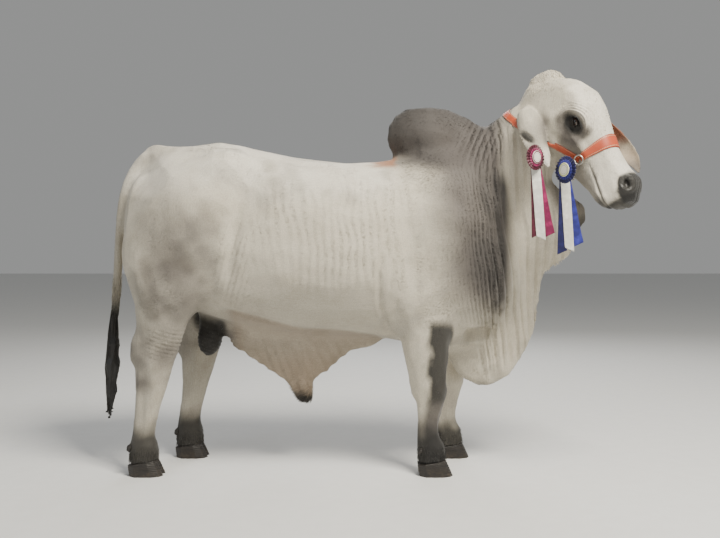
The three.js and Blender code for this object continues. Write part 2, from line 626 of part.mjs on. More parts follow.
add('lower_jaw', trim(whole, [mouthCut, lipCut]), 'hide');
['right', 'left'].forEach((name, i) => add(`eye_${name}`, eyeballs[i], 'eye'));

// Trunk and neck
const upperSkin = (low, high, cell) => skin(body, { low, high, cell });
const notLegs = ['fore', 'hind'].flatMap((pair) => [-1, 1].map((side) => region(legBox(pair, side))));
const foreParts = notLegs.slice(0, 2);
const hindParts = notLegs.slice(2);
const nodes = {};
const neckSkin = upperSkin([460, -480, 840], [1020, 260, 1860], [34, 38, 44]);
nodes.neck = add('neck',
  minus(trim(neckSkin, [neckCut, notchCut]), region(headRegion), region(throatRegion)), 'hide');
nodes.throat = add('dewlap_throat', trim(
  upperSkin([560, -420, 800], [1040, 60, 1320], [34, 22, 36]), throatRegion), 'hide');
const brisketSkin = upperSkin([170, -420, 300], [830, 420, 960], [36, 24, 40]);
nodes.brisket = add('dewlap_brisket', minus(
  join(trim(brisketSkin, brisketRegion), trim(brisketSkin, collarRegion)), ...foreParts), 'hide');
const humpSkin = upperSkin([0, -260, 1330], [560, 260, 1680], [40, 36, 34]);
nodes.hump = add('hump', trim(humpSkin, humpRegion), 'darkHide');
const chestSkin = upperSkin([-110, -420, 500], [740, 420, 1620], [57, 52, 54]);
nodes.chest = add('chest', minus(trim(chestSkin, [chestCut, flip(neckCut)]), region(humpRegion),
  region(brisketRegion), region(sheathRegion), ...foreParts), 'darkHide');
const barrelSkin = upperSkin([-720, -440, 500], [160, 440, 1500], [80, 56, 56]);
nodes.barrel = add('barrel',
  minus(trim(barrelSkin, [rumpCut, flip(chestCut)]), region(sheathRegion), ...hindParts), 'hide');
const rumpSkin = upperSkin([-1240, -420, 560], [-428, 420, 1540], [58, 52, 54]);
nodes.rump = add('rump', minus(trim(rumpSkin, [flip(rumpCut)]), region(sheathRegion), ...hindParts), 'hide');
const sheathSkin = upperSkin([-800, -150, 240], [120, 150, 640], [42, 26, 34]);
nodes.sheath = add('sheath', trim(sheathSkin, sheathRegion), 'hide');

// Legs, hooves and dewclaws
const clawRing = (x, y, z, inner, [front, rear, wide]) => [
  [front, 0.3], [front * 0.86, 0.72], [front * 0.4, 0.98], [-rear * 0.5, 0.95], [-rear * 0.95, 0.55],
  [-rear * 0.92, 0.15], [-rear * 0.4, 0], [front * 0.5, 0.01], [front * 0.9, 0.1],
].map(([u, v]) => [x + u, y + inner * (3 + v * wide), z]);
for (const [name, pair, side, step] of [
  ['foreleg_right', 'fore', -1, 0], ['foreleg_left', 'fore', 1, FAR_FORE_STEP],
  ['hindleg_right', 'hind', -1, 0], ['hindleg_left', 'hind', 1, FAR_HIND_STEP],
]) {
  const fore = pair === 'fore';
  const footX = (fore ? 258 : -1003) + step;
  const cut = fore ? kneeCut : hockCut;
  const box = legBox(pair, side);
  const reach = fore ? [-28, 420 + step] : [-1180, -556 + step];
  const [a, b] = sided(side, -40, 400);
  const top = fore ? 700 : 812;
  const upper = skin(body, { low: [reach[0], a, cut.d - 60], high: [reach[1], b, top], cell: [34, 32, 46] });
  const upperSolid = add(`${name}_upper`, minus(trim(upper, [...box, cut]), region(sheathRegion)), 'hide');
  const [lowX, highX] = fore ? [110, 390 + step] : [-1130, -800 + step];
  const lower = skin(body, { low: [lowX, a, -30], high: [highX, b, cut.d + 60], cell: [22, 20, 36] });
  const shank = add(`${name}_shank`, trim(lower, [flip(cut), coronet(footX)]), 'black');
  const footY = side * STANCE;
  for (const [where, inner] of [['outer', side], ['inner', -side]]) {
    const claw = loft([
      clawRing(footX + 4, footY, 0, inner, [84, 66, 62]),
      clawRing(footX - 1, footY, 46, inner, [68, 67, 60]),
      clawRing(footX - 5, footY, 80, inner, [56, 60, 56]),
    ]);
    add(`hoof_${name}_${where}`, trim(claw, [flip(coronet(footX))]), 'horn');
    const dew = solid(new THREE.SphereGeometry(1, 6, 4).scale(17, 15, 23).rotateY(0.5)
      .translate(footX - (fore ? 50 : 55), footY + inner * 27, fore ? 110 : 122));
    add(`dewclaw_${name}_${where}`, clear(dew, shank), 'horn');
  }
  nodes[name] = upperSolid;
}

// Scrotum, between the thighs
const scrotumField = blend(30,
  ball([-742, -31, 582], [54, 44, 84]), ball([-742, 31, 586], [54, 44, 84]),
  ball([-745, 0, 690], [52, 46, 90]));
const scrotumBox = { low: [-830, -110, 470], high: [-660, 110, 810], cell: [28, 25, 34] };
add('scrotum', clear(skin(scrotumField, scrotumBox),
  nodes.rump, nodes.hindleg_right, nodes.hindleg_left, nodes.sheath), 'black');

// Tail: dock, shaft and the switch of long hair
const tailLine = [
  [-880, 0, 1398, 46, 46, 46], [-985, 0, 1412, 36, 40, 40], [-1052, 0, 1366, 33, 36, 35],
  [-1105, 0, 1280, 29, 31, 31], [-1134, 0, 1180, 26, 28, 27], [-1150, 0, 1060, 22, 24, 23],
  [-1160, 0, 900, 19, 20, 20], [-1170, 0, 760, 17, 17, 17], [-1181, 0, 640, 16, 16, 17],
];
const tail = tube(tailLine, { sides: 9, steps: 2 });
const tailCut = ahead([0, 0, 1], [0, 0, 1120]);
const switchCut = ahead([0, 0, 1], [0, 0, 668]);
add('tail_dock', clear(trim(tail, [tailCut]), nodes.rump), 'hide');
add('tail_shaft', clear(trim(tail, [flip(tailCut), switchCut]), nodes.rump), 'hide');
// The switch: a core with three tiers of flat locks that bend out, overlap and hang to points
const switchLine = [
  [-1178, 0, 705, 16, 16, 16], [-1183, 0, 620, 21, 21, 23], [-1186, 0, 520, 27, 29, 33],
  [-1189, 0, 420, 26, 28, 34], [-1193, 0, 330, 19, 20, 24], [-1201, 0, 262, 8, 9, 10],
  [-1206, 0, 232, 3, 3, 3],
];
const switchRows = samples(switchLine, 8);
const switchRow = (z) => switchRows.reduce((a, b) => (Math.abs(b[2] - z) < Math.abs(a[2] - z) ? b : a));
const TIERS = [
  { count: 4, from: 655, long: 235, turn: 0.1 }, { count: 5, from: 555, long: 250, turn: 0.6 },
  { count: 4, from: 430, long: 215, turn: 0.25 },
];
const locks = TIERS.flatMap(({ count, from, long, turn }) => Array.from({ length: count }, (_, i) => {
  const uneven = ((i * 7 + count * 3) % 5) / 5;
  const length = long * (0.86 + 0.28 * uneven);
  const stations = [[0, 0.3, 0.7], [0.4, 0.9, 1], [1, 0.85, 0.12]].map(([t, out, size]) => {
    const angle = (2 * Math.PI * (i + turn)) / count + 0.5 * t * (uneven - 0.4);
    const z = from - t * length;
    const row = switchRow(z);
    const reach = (Math.max(row[5], 12) + 4) * out;
    return [row[0] + reach * Math.cos(angle) * 0.9, reach * Math.sin(angle), z,
      10 * size, 10 * size, 27 * size];
  });
  const angle = (2 * Math.PI * (i + turn)) / count;
  return tube(stations, { side: [-Math.sin(angle), Math.cos(angle), 0], sides: 4, steps: 1 });
}));
const switchHair = join(tube(switchLine, { sides: 7, steps: 1 }), ...locks).simplify(1);
add('tail_switch', trim(switchHair, [flip(switchCut)]), 'black');

// Ears: a leaf rolled into a cup. Stations hold the middle line, the way the cup opens,
// half the width along the roll, half the roll's angle and the thickness.
function ear(stations) {
  const rows = samples(stations.map(([at, open, ...sizes]) => [...at, ...open, ...sizes]), 2);
  const across = 4;
  const rings = rows.map((r, i) => {
    const [a, b] = [rows[Math.max(0, i - 1)], rows[Math.min(rows.length - 1, i + 1)]];
    const t = new THREE.Vector3(b[0] - a[0], b[1] - a[1], b[2] - a[2]).normalize();
    const open = new THREE.Vector3(r[3], r[4], r[5]);
    open.addScaledVector(t, -open.dot(t)).normalize();
    const wide = new THREE.Vector3().crossVectors(t, open);
    const [half, roll, thick] = [r[6], r[7], r[8]];
    const radius = half / roll;
    const at = (v, out) => {
      const angle = (v / across) * roll;
      const reach = radius + out * (thick / 2) * (1 - 0.5 * (v / across) ** 2);
      return new THREE.Vector3(r[0], r[1], r[2]).addScaledVector(open, radius - reach * Math.cos(angle))
        .addScaledVector(wide, reach * Math.sin(angle)).toArray();
    };
    const line = (out) => Array.from({ length: 2 * across + 1 }, (_, k) => at(k - across, out));
    return [...line(1), ...line(-1).reverse()];
  });
  return loft(rings);
}
const earRight = ear([
  [[712, -190, 1586], [0.1, 0.95, -0.2], 36, 1.8, 26],
  [[664, -250, 1572], [0.0, 0.9, -0.3], 62, 1.45, 20],
  [[674, -296, 1500], [-0.2, 0.9, -0.3], 76, 1.15, 15],
  [[688, -325, 1432], [-0.35, 0.85, -0.3], 68, 1.0, 13],
  [[708, -342, 1380], [-0.4, 0.85, -0.3], 46, 0.9, 11],
  [[720, -352, 1324], [-0.4, 0.85, -0.3], 6, 0.8, 7],
]);
const earLeft = ear([
  [[826, -86, 1590], [0, -1, 0], 34, 1.8, 26],
  [[884, -44, 1590], [0, -1, 0], 54, 1.6, 20],
  [[962, -28, 1552], [0, -1, -0.1], 68, 1.25, 15],
  [[1038, -34, 1494], [0.1, -1, -0.1], 70, 1.1, 13],
  [[1108, -50, 1432], [0.1, -1, -0.1], 58, 1.0, 12],
  [[1156, -76, 1374], [0.1, -1, 0], 36, 0.9, 10],
  [[1176, -95, 1322], [0.1, -1, 0], 6, 0.8, 7],
]);
nodes.earRight = add('ear_right', clear(earRight, headSolid, nodes.neck), 'hide');
add('ear_left', clear(earLeft, headSolid, nodes.neck), 'hide');

// Halter: the noseband and straps lie on the hide, the rings join them and the chain hangs below
const RING_AT = [390, 85, 36];
const rings = bothSides((side) => solid(new THREE.TorusGeometry(19, 3.2, 5, 12).rotateX(Math.PI / 2)
  .rotateZ(side * -0.12).translate(RING_AT[0], side * (RING_AT[1] + 4), RING_AT[2]).applyMatrix4(headFrame)));
const ringSolids = ['right', 'left'].map((name, i) =>
  add(`halter_ring_${name}`, clear(rings[i], headSolid), 'steel'));
const LEATHER = 5.2;
const leatherOver = (shape, planes) => trim(swell(shape, LEATHER), planes);
const noseband = leatherOver(headSkin, [
  inHeadFrame([0.985, 0, 0.171], [352, 0, 165]), inHeadFrame([-0.998, 0, 0.07], [410, 0, 165]),
  inHeadFrame([0, 0, 1], [0, 0, 38]),
]);
const nosebandSolid = add('halter_noseband', clear(noseband, headSolid, ...ringSolids), 'leather');
// A band of the head's frame: the planes along its two edges, where it passes a point [x, z] at a slope
const bandPlanes = ([x, z], slope, width) => [-1, 1].map((edge) => {
  const n = [-Math.sin(slope) * -edge, 0, Math.cos(slope) * -edge];
  return inHeadFrame(n, [x - (n[0] * width) / 2, 0, z - (n[2] * width) / 2]);
});
const STRAP_END = 98;
const cheekStraps = ['right', 'left'].map((name, i) => {
  const side = i ? 1 : -1;
  const band = leatherOver(headSkin, [
    ...bandPlanes([378, 30], 0.49, 27), inHeadFrame([0, side, 0], [0, side * 30, 0]),
    inHeadFrame([1, 0, 0], [STRAP_END, 0, 0]), inHeadFrame([-1, 0, 0], [372, 0, 0]),
  ]);
  return add(`halter_cheek_strap_${name}`,
    clear(band, headSolid, nodes.neck, nodes.earRight, ringSolids[i], nosebandSolid), 'leather');
});
const crownPlanes = [...bandPlanes([27, -147], 0.45, 31), inHeadFrame([-1, 0, 0], [STRAP_END - 1, 0, 0])];
add('halter_crown_strap', clear(join(leatherOver(headSkin, crownPlanes), leatherOver(neckSkin, crownPlanes)),
  headSolid, nodes.neck, nodes.throat, nodes.chest, nodes.hump, nodes.earRight, ...cheekStraps), 'leather');
const chainCurve = new THREE.CatmullRomCurve3([
  [388, -92, 20], [392, -86, -26], [398, -60, -70], [400, 0, -88],
  [398, 60, -70], [392, 86, -26], [388, 92, 20],
].map((p) => fromHead(p)));
const LINKS = 9;
const links = Array.from({ length: LINKS }, (_, i) => {
  const at = chainCurve.getPointAt((i + 0.5) / LINKS);
  const t = chainCurve.getTangentAt((i + 0.5) / LINKS);
  const across = new THREE.Vector3().crossVectors(t, headX).normalize();
  const flat = new THREE.Vector3().crossVectors(t, across).normalize();
  const turn = i % 2 ? [across, flat] : [flat, across.clone().negate()];
  return solid(new THREE.TorusGeometry(11, 3.2, 4, 6).scale(1.7, 1, 1)
    .applyMatrix4(new THREE.Matrix4().makeBasis(t, ...turn).setPosition(at)));
});
add('chin_chain', clear(join(...links), headSolid, ...ringSolids), 'steel');

// Show rosettes: a pleated disc with a raised centre, and three ribbon tails
const rosetteFrame = (at, facing) => {
  const n = new THREE.Vector3(...facing).normalize();
  const u = new THREE.Vector3(0, 0, 1).cross(n).normalize();
  return new THREE.Matrix4().makeBasis(u, new THREE.Vector3().crossVectors(n, u), n).setPosition(...at);
};
function rosette(at, facing, radius) {
  const pleats = 14;
  const ring = (r, high, wave) => Array.from({ length: pleats * 2 }, (_, i) => {
    const angle = (Math.PI * i) / pleats;
    return new THREE.Vector3(r * Math.cos(angle), r * Math.sin(angle), high + (i % 2 ? wave : -wave))
      .applyMatrix4(rosetteFrame(at, facing)).toArray();
  });
  return loft([
    ring(0.2 * radius, -4, 0), ring(radius, -3, 2.5), ring(radius, 1, 2.5), ring(0.56 * radius, 6, 1),
    ring(0.52 * radius, 10, 0),
  ]);
}
// A ribbon from the rosette's back to its free end; fan is how far that end swings to the bull's head.
function ribbon(at, facing, { behind, long, width, fan, slant }) {
  const frame = rosetteFrame(at, facing);
  const n = new THREE.Vector3().setFromMatrixColumn(frame, 2);
  const u = new THREE.Vector3().setFromMatrixColumn(frame, 0);
  const steps = 8;
  return loft(Array.from({ length: steps + 1 }, (_, i) => {
    const t = i / steps;
    const middle = new THREE.Vector3(...at).addScaledVector(u, fan * t)
      .addScaledVector(n, -behind + 6 * Math.sin(t * 5) * t).add(new THREE.Vector3(0, 0, -8 - t * long));
    return [[-1, 0.8], [1, 0.8], [1, -0.8], [-1, -0.8]].map(([a, b]) => middle.clone()
      .addScaledVector(u, (a * width) / 2).addScaledVector(n, b)
      .add(new THREE.Vector3(0, 0, i === steps ? a * slant : 0)).toArray());
  }));
}
const awards = [
  { name: 'burgundy', at: [658, -398, 1360], facing: [0.6, -0.8, 0], radius: 53, hang: [-0.05, -1, 0], tails: [
    ['burgundy', { behind: 30.5, long: 312, width: 36, fan: 8, slant: 9 }],
    ['white', { behind: 27, long: 322, width: 38, fan: 28, slant: -9 }],
    ['magenta', { behind: 34, long: 308, width: 38, fan: 66, slant: 9 }]] },
  { name: 'navy', at: [787, -354, 1313], facing: [-0.85, -0.53, 0], radius: 58, hang: [-0.2, -1, 0], tails: [
    ['navy', { behind: 36.5, long: 334, width: 40, fan: -8, slant: 9 }],
    ['white', { behind: 33, long: 322, width: 38, fan: 22, slant: -9 }],
    ['blue', { behind: 40, long: 300, width: 38, fan: 60, slant: 9 }]] },
];
for (const { name, at, facing, radius, hang, tails } of awards) {
  add(`rosette_${name}`, rosette(at, facing, radius), name);
  for (const [shade, sizes] of tails) add(`ribbon_${name}_${shade}`, ribbon(at, hang, sizes), shade);
}

// The origin goes on the ground under the middle of the model's box
const box = new THREE.Box3().setFromObject(group, true);
const middle = box.getCenter(new THREE.Vector3());
group.position.set(-middle.x, -middle.y, -box.min.z);

export default group;
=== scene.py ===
"""A life-size Brahman bull for a museum floor, in its short coat, show halter and two rosettes."""

import json
import logging
import math
from collections.abc import Callable
from dataclasses import dataclass, field
from enum import Enum
from functools import partialmethod

import bpy
import numpy as np
from bpy.types import Material, Node, NodeSocket, Object
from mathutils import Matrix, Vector
from mathutils.bvhtree import BVHTree

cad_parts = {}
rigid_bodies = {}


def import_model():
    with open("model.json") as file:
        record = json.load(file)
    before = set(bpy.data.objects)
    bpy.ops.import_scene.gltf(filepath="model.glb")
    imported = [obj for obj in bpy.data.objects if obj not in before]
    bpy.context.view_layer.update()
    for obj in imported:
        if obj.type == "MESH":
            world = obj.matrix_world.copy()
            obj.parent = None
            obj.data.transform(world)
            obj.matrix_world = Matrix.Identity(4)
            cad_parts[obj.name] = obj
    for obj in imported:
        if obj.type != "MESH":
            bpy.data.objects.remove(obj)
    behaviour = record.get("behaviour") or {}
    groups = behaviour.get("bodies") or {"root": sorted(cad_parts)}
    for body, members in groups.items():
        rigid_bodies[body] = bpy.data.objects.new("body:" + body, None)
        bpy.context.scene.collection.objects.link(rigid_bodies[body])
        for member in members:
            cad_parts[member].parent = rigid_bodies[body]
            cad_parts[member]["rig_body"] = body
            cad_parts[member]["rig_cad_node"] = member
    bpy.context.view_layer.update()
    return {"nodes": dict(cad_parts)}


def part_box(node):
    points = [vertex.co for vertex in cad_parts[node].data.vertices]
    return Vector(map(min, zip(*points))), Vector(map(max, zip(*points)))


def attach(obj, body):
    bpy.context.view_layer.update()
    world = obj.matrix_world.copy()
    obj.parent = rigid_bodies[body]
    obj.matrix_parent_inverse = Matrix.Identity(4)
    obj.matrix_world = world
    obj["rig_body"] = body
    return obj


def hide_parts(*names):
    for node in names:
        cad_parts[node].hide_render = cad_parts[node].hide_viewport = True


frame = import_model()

LOG = logging.getLogger("bull")
MM = 0.001
Rows = np.ndarray
Pair = tuple[float, float]
Triple = tuple[float, float, float]


def ramp(low: float, high: float, value: Rows) -> Rows:
    """A smooth step from 0 at low to 1 at high, also where high is the smaller one."""
    t = np.clip((value - low) / (high - low), 0, 1)
    return t * t * (3 - 2 * t)


def bell(distance: Rows, width: float = 1) -> Rows:
    """A soft bump, 1 at no distance and faded out two widths away."""
    return np.exp(-((distance / width) ** 2))


def oval(u: Rows, w: Rows, at: Pair, reach: Pair) -> Rows:
    """How far places are from an oval's middle, 1 at its rim."""
    return np.hypot((u - at[0]) / reach[0], (w - at[1]) / reach[1])


def wave(distance: Rows, every: float) -> Rows:
    """A cosine that comes round at every such distance."""
    return np.cos(math.tau * distance / every)


def pleat(distance: Rows, every: float) -> Rows:
    """A row of rounded ridges with sharp valleys between them, from 0 to 1."""
    return np.abs(np.cos(math.pi * distance / every))


def unit(rows: Rows) -> Rows:
    """The rows as unit vectors."""
    return rows / np.maximum(np.linalg.norm(rows, axis=-1, keepdims=True), 1e-9)


def drift(points: Rows, size: float, seed: int) -> Rows:
    """A soft noise between about -1 and 1.

    Args:
        points: Places in millimetres, a row each.
        size: The width of its patches in millimetres.
        seed: Which noise.

    Returns:
        One value a row.
    """
    draw = np.random.default_rng(seed)
    total = np.zeros(len(points))
    for _ in range(7):
        wave = unit(draw.normal(size=(1, 3)))[0] * (math.tau / (size * draw.uniform(1.2, 3.2)))
        total += np.sin(points @ wave + draw.uniform(0, 6.28))
    return total / 3.2


@dataclass(frozen=True)
class Stand:
    """Where the bull stands: its own measures in millimetres against the frame's metres."""

    head_at: Triple = (735, -120, 1675)
    head_yaw: float = 41
    head_pitch: float = 60
    eye_at: Triple = (246, 88, 104)
    neck_cut: Triple = (690, -88, 1476)
    neck_way: Triple = (0.594, -0.323, 0.737)

    def head_axes(self) -> Rows:
        """The head's axes: along the bridge of the nose, to the bull's left, and out of the forehead.

        Returns:
            Three unit directions in the bull's own measures.
        """
        yaw, pitch = math.radians(self.head_yaw), math.radians(self.head_pitch)
        along = (math.cos(pitch) * math.cos(yaw), -math.cos(pitch) * math.sin(yaw), -math.sin(pitch))
        left = (math.sin(yaw), math.cos(yaw), 0)
        return np.array([along, left, np.cross(along, left)])

    def shift(self) -> Rows:
        """Finds the bull's own origin from its right eye.

        Returns:
            The frame's place of that origin, in millimetres.
        """
        low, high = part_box("eye_right")
        eye = np.array(self.eye_at) * (1, -1, 1)
        return np.array((low + high) / 2) / MM - self.from_head(eye[None])[0]

    def from_head(self, local: Rows) -> Rows:
        """Places in the head's frame as places in the bull's own measures."""
        return np.asarray(local, float) @ self.head_axes() + self.head_at

    def to_head(self, points: Rows) -> Rows:
        """Places in the bull's own measures as places in the head's frame."""
        return (points - self.head_at) @ self.head_axes().T

    def eye(self, side: float) -> Rows:
        """The middle of the right eye, side -1, or the left one, side 1, in the head's frame."""
        return self.eye_at * np.array([1, side, 1])

    def gaze(self, side: float) -> Rows:
        """The way that an eye looks, in the head's frame."""
        return unit(np.array([0.16, side * 0.95, 0.2]))

    def ahead(self, points: Rows) -> Rows:
        """How far places lie on the head's side of the cut through the neck, in millimetres."""
        return (points - self.neck_cut) @ unit(np.array(self.neck_way))

    def head_metres(self, local: Rows) -> Rows:
        """Places in the head's frame as places in the frame."""
        return self.metres(self.from_head(local))

    def metres(self, points: Rows) -> Rows:
        """The bull's own measures as places in the frame."""
        return (np.asarray(points, float) + self.shift()) * MM

    def measures(self, places: Rows) -> Rows:
        """Places in the frame as the bull's own measures."""
        return np.asarray(places, float) / MM - self.shift()


STAND = Stand()


class Value:
    """A socket that takes part in Python arithmetic by adding Math nodes."""

    def __init__(self, shader: "Shader", socket: NodeSocket) -> None:
        """Wraps a socket of a shader."""
        self.shader = shader
        self.socket = socket

    def _math(self, operation: str, other: "Value | float", first: "Value | float | None" = None) -> "Value":
        """Adds one Math node on this value and another, or on another two.

        Args:
            operation: What the node does.
            other: Its second term.
            first: Its first term, where that isn't this value.

        Returns:
            The node's result.
        """
        terms = {0: self if first is None else first, 1: other}
        node = self.shader.node("ShaderNodeMath", {"operation": operation}, terms)
        return Value(self.shader, node.outputs[0])

    def __rsub__(self, other: float) -> "Value":
        """other - self."""
        return self._math("SUBTRACT", self, other)

    __add__ = __radd__ = partialmethod(_math, "ADD")
    __sub__ = partialmethod(_math, "SUBTRACT")
    __mul__ = __rmul__ = partialmethod(_math, "MULTIPLY")

    def pingpong(self, width: float) -> "Value":
        """The value folded to and fro between 0 and a width."""
        return self._math("PINGPONG", width)

    def step(self, low: float, high: float) -> "Value":
        """A smooth step from 0 at low to 1 at high."""
        settings = {"interpolation_type": "SMOOTHSTEP"}
        node = self.shader.node("ShaderNodeMapRange", settings, {0: self, 1: low, 2: high})
        return Value(self.shader, node.outputs[0])


class Shader:
    """A material under construction."""

    def __init__(self, name: str) -> None:
        """Starts a material with one Principled shader.

        Args:
            name: What the material is called.
        """
        self.material = bpy.data.materials.new(name)
        self.material.use_nodes = True
        self.tree = self.material.node_tree
        self.base = next(n for n in self.tree.nodes if n.type == "BSDF_PRINCIPLED")

    def node(self, kind: str, settings: dict, sockets: dict) -> Node:
        """Adds a node.

        Args:
            kind: The node's type.
            settings: Its properties.
            sockets: Values or links of its inputs, by name or number.

        Returns:
            The node.
        """
        node = self.tree.nodes.new(kind)
        for name, value in settings.items():
            setattr(node, name, value)
        for name, value in sockets.items():
            self.feed(node.inputs[name], value)
        return node

    def feed(self, socket: NodeSocket, value: object) -> None:
        """Links a socket to a value's socket, or sets it.

        Args:
            socket: An input.
            value: A Value, a socket, a colour of three numbers, or a number.
        """
        if isinstance(value, Value):
            self.tree.links.new(value.socket, socket)
        elif isinstance(value, NodeSocket):
            self.tree.links.new(value, socket)
        elif isinstance(value, tuple) and len(value) == 3 and socket.type == "RGBA":
            socket.default_value = (*value, 1)
        else:
            socket.default_value = value

    def surface(self, **sockets: object) -> None:
        """Sets sockets of the Principled shader, with _ for a space."""
        for name, value in sockets.items():
            self.feed(self.base.inputs[name.replace("_", " ")], value)

    def place(self, stretch: tuple = (1, 1, 1)) -> NodeSocket:
        """Object coordinates, scaled along each axis."""
        sockets = {"Vector": self.node("ShaderNodeTexCoord", {}, {}).outputs["Object"], "Scale": stretch}
        return self.node("ShaderNodeMapping", {}, sockets).outputs[0]

    def painted(self, name: str, output: str = "Color") -> NodeSocket:
        """The colour that an attribute holds."""
        return self.node("ShaderNodeAttribute", {"attribute_name": name}, {}).outputs[output]

    def mask(self, name: str) -> Value:
        """The number that an attribute holds."""
        return Value(self, self.painted(name, "Fac"))

    def noise(self, scale: float, detail: float = 4, rough: float = 0.5,
              stretch: tuple = (1, 1, 1)) -> Value:
        """Fractal noise between 0 and 1, finer along an axis of larger stretch."""
        sockets = {"Vector": self.place(stretch), "Scale": scale, "Detail": detail, "Roughness": rough}
        return Value(self, self.node("ShaderNodeTexNoise", {}, sockets).outputs["Fac"])

    def cells(self, feature: str, scale: float, **sockets: float) -> Value:
        """The distance that a Voronoi texture gives for one of its features.

        Args:
            feature: Which one.
            scale: How many cells there are to a metre.
            sockets: More inputs of the texture.

        Returns:
            The distance.
        """
        sockets = {"Vector": self.place(), "Scale": scale, **sockets}
        node = self.node("ShaderNodeTexVoronoi", {"feature": feature}, sockets)
        return Value(self, node.outputs["Distance"])

    def mix(self, share: object, first: object, second: object, blend: str = "MIX") -> NodeSocket:
        """Two colours mixed by a share."""
        settings = {"data_type": "RGBA", "blend_type": blend}
        return self.node("ShaderNodeMix", settings, {0: share, 6: first, 7: second}).outputs[2]

    def bump(self, height: object, depth: float, strength: float = 1, **under: object) -> NodeSocket:
        """A normal raised by a height, depth metres at height 1, over the Normal under it if one is given."""
        sockets = {"Height": height, "Distance": depth, "Strength": strength, **under}
        return self.node("ShaderNodeBump", {}, sockets).outputs[0]


class Tone(Enum):
    """The coat's and the skin's own colours, also laid as painted shade, linear red, green and blue."""

    CREAM = (0.62, 0.57, 0.465)
    MILK = (0.78, 0.74, 0.65)
    PEARL = (0.375, 0.347, 0.29)
    SMOKE = (0.105, 0.092, 0.084)
    SLATE = (0.045, 0.041, 0.039)
    COAL = (0.011, 0.0105, 0.01)
    RUST = (0.36, 0.15, 0.06)
    TAN = (0.33, 0.245, 0.17)
    FLUSH = (0.33, 0.12, 0.065)


@dataclass(frozen=True)
class Markings:
    """The coat's markings and where its painted shade lies, worked out from where a place lies on the bull.
    """

    rust_at: Pair = (48, 1366)
    belly: tuple[tuple[float, ...], tuple[float, ...]] = (
        (-623, -448, -303, -158, 7, 104), (728, 680, 641, 636, 608, 554))
    thigh: tuple[tuple[float, float, float, float], ...] = (
        (-840, 930, 175, 0.62), (-940, 1060, 150, 0.46), (-720, 1080, 95, 0.4),
        (-800, 800, 150, 0.52), (-880, 1160, 150, 0.3), (-835, 910, 80, 0.55),
        (-700, 940, 60, 0.4), (-960, 880, 90, 0.4), (-940, 745, 62, 0.62),
        (-790, 730, 85, 0.45), (-870, 700, 90, 0.4), (-1003, 402, 48, 0.8),
        (-1015, 500, 34, 0.55), (-905, 520, 50, 0.4))

    def ear_hollow(self, x: Rows, z: Rows, long: float, wide: float) -> Rows:
        """How far places are from the near ear's opening, seen from the side.

        Args:
            x: How far forward they lie.
            z: How high.
            long: The opening's half length.
            wide: Its half width.

        Returns:
            Distances, 1 at its rim.
        """
        u, w = x - 640, z - 1452
        return np.hypot((0.65 * u - 0.76 * w) / long, (0.76 * u + 0.65 * w) / wide)


MARKINGS = Markings()


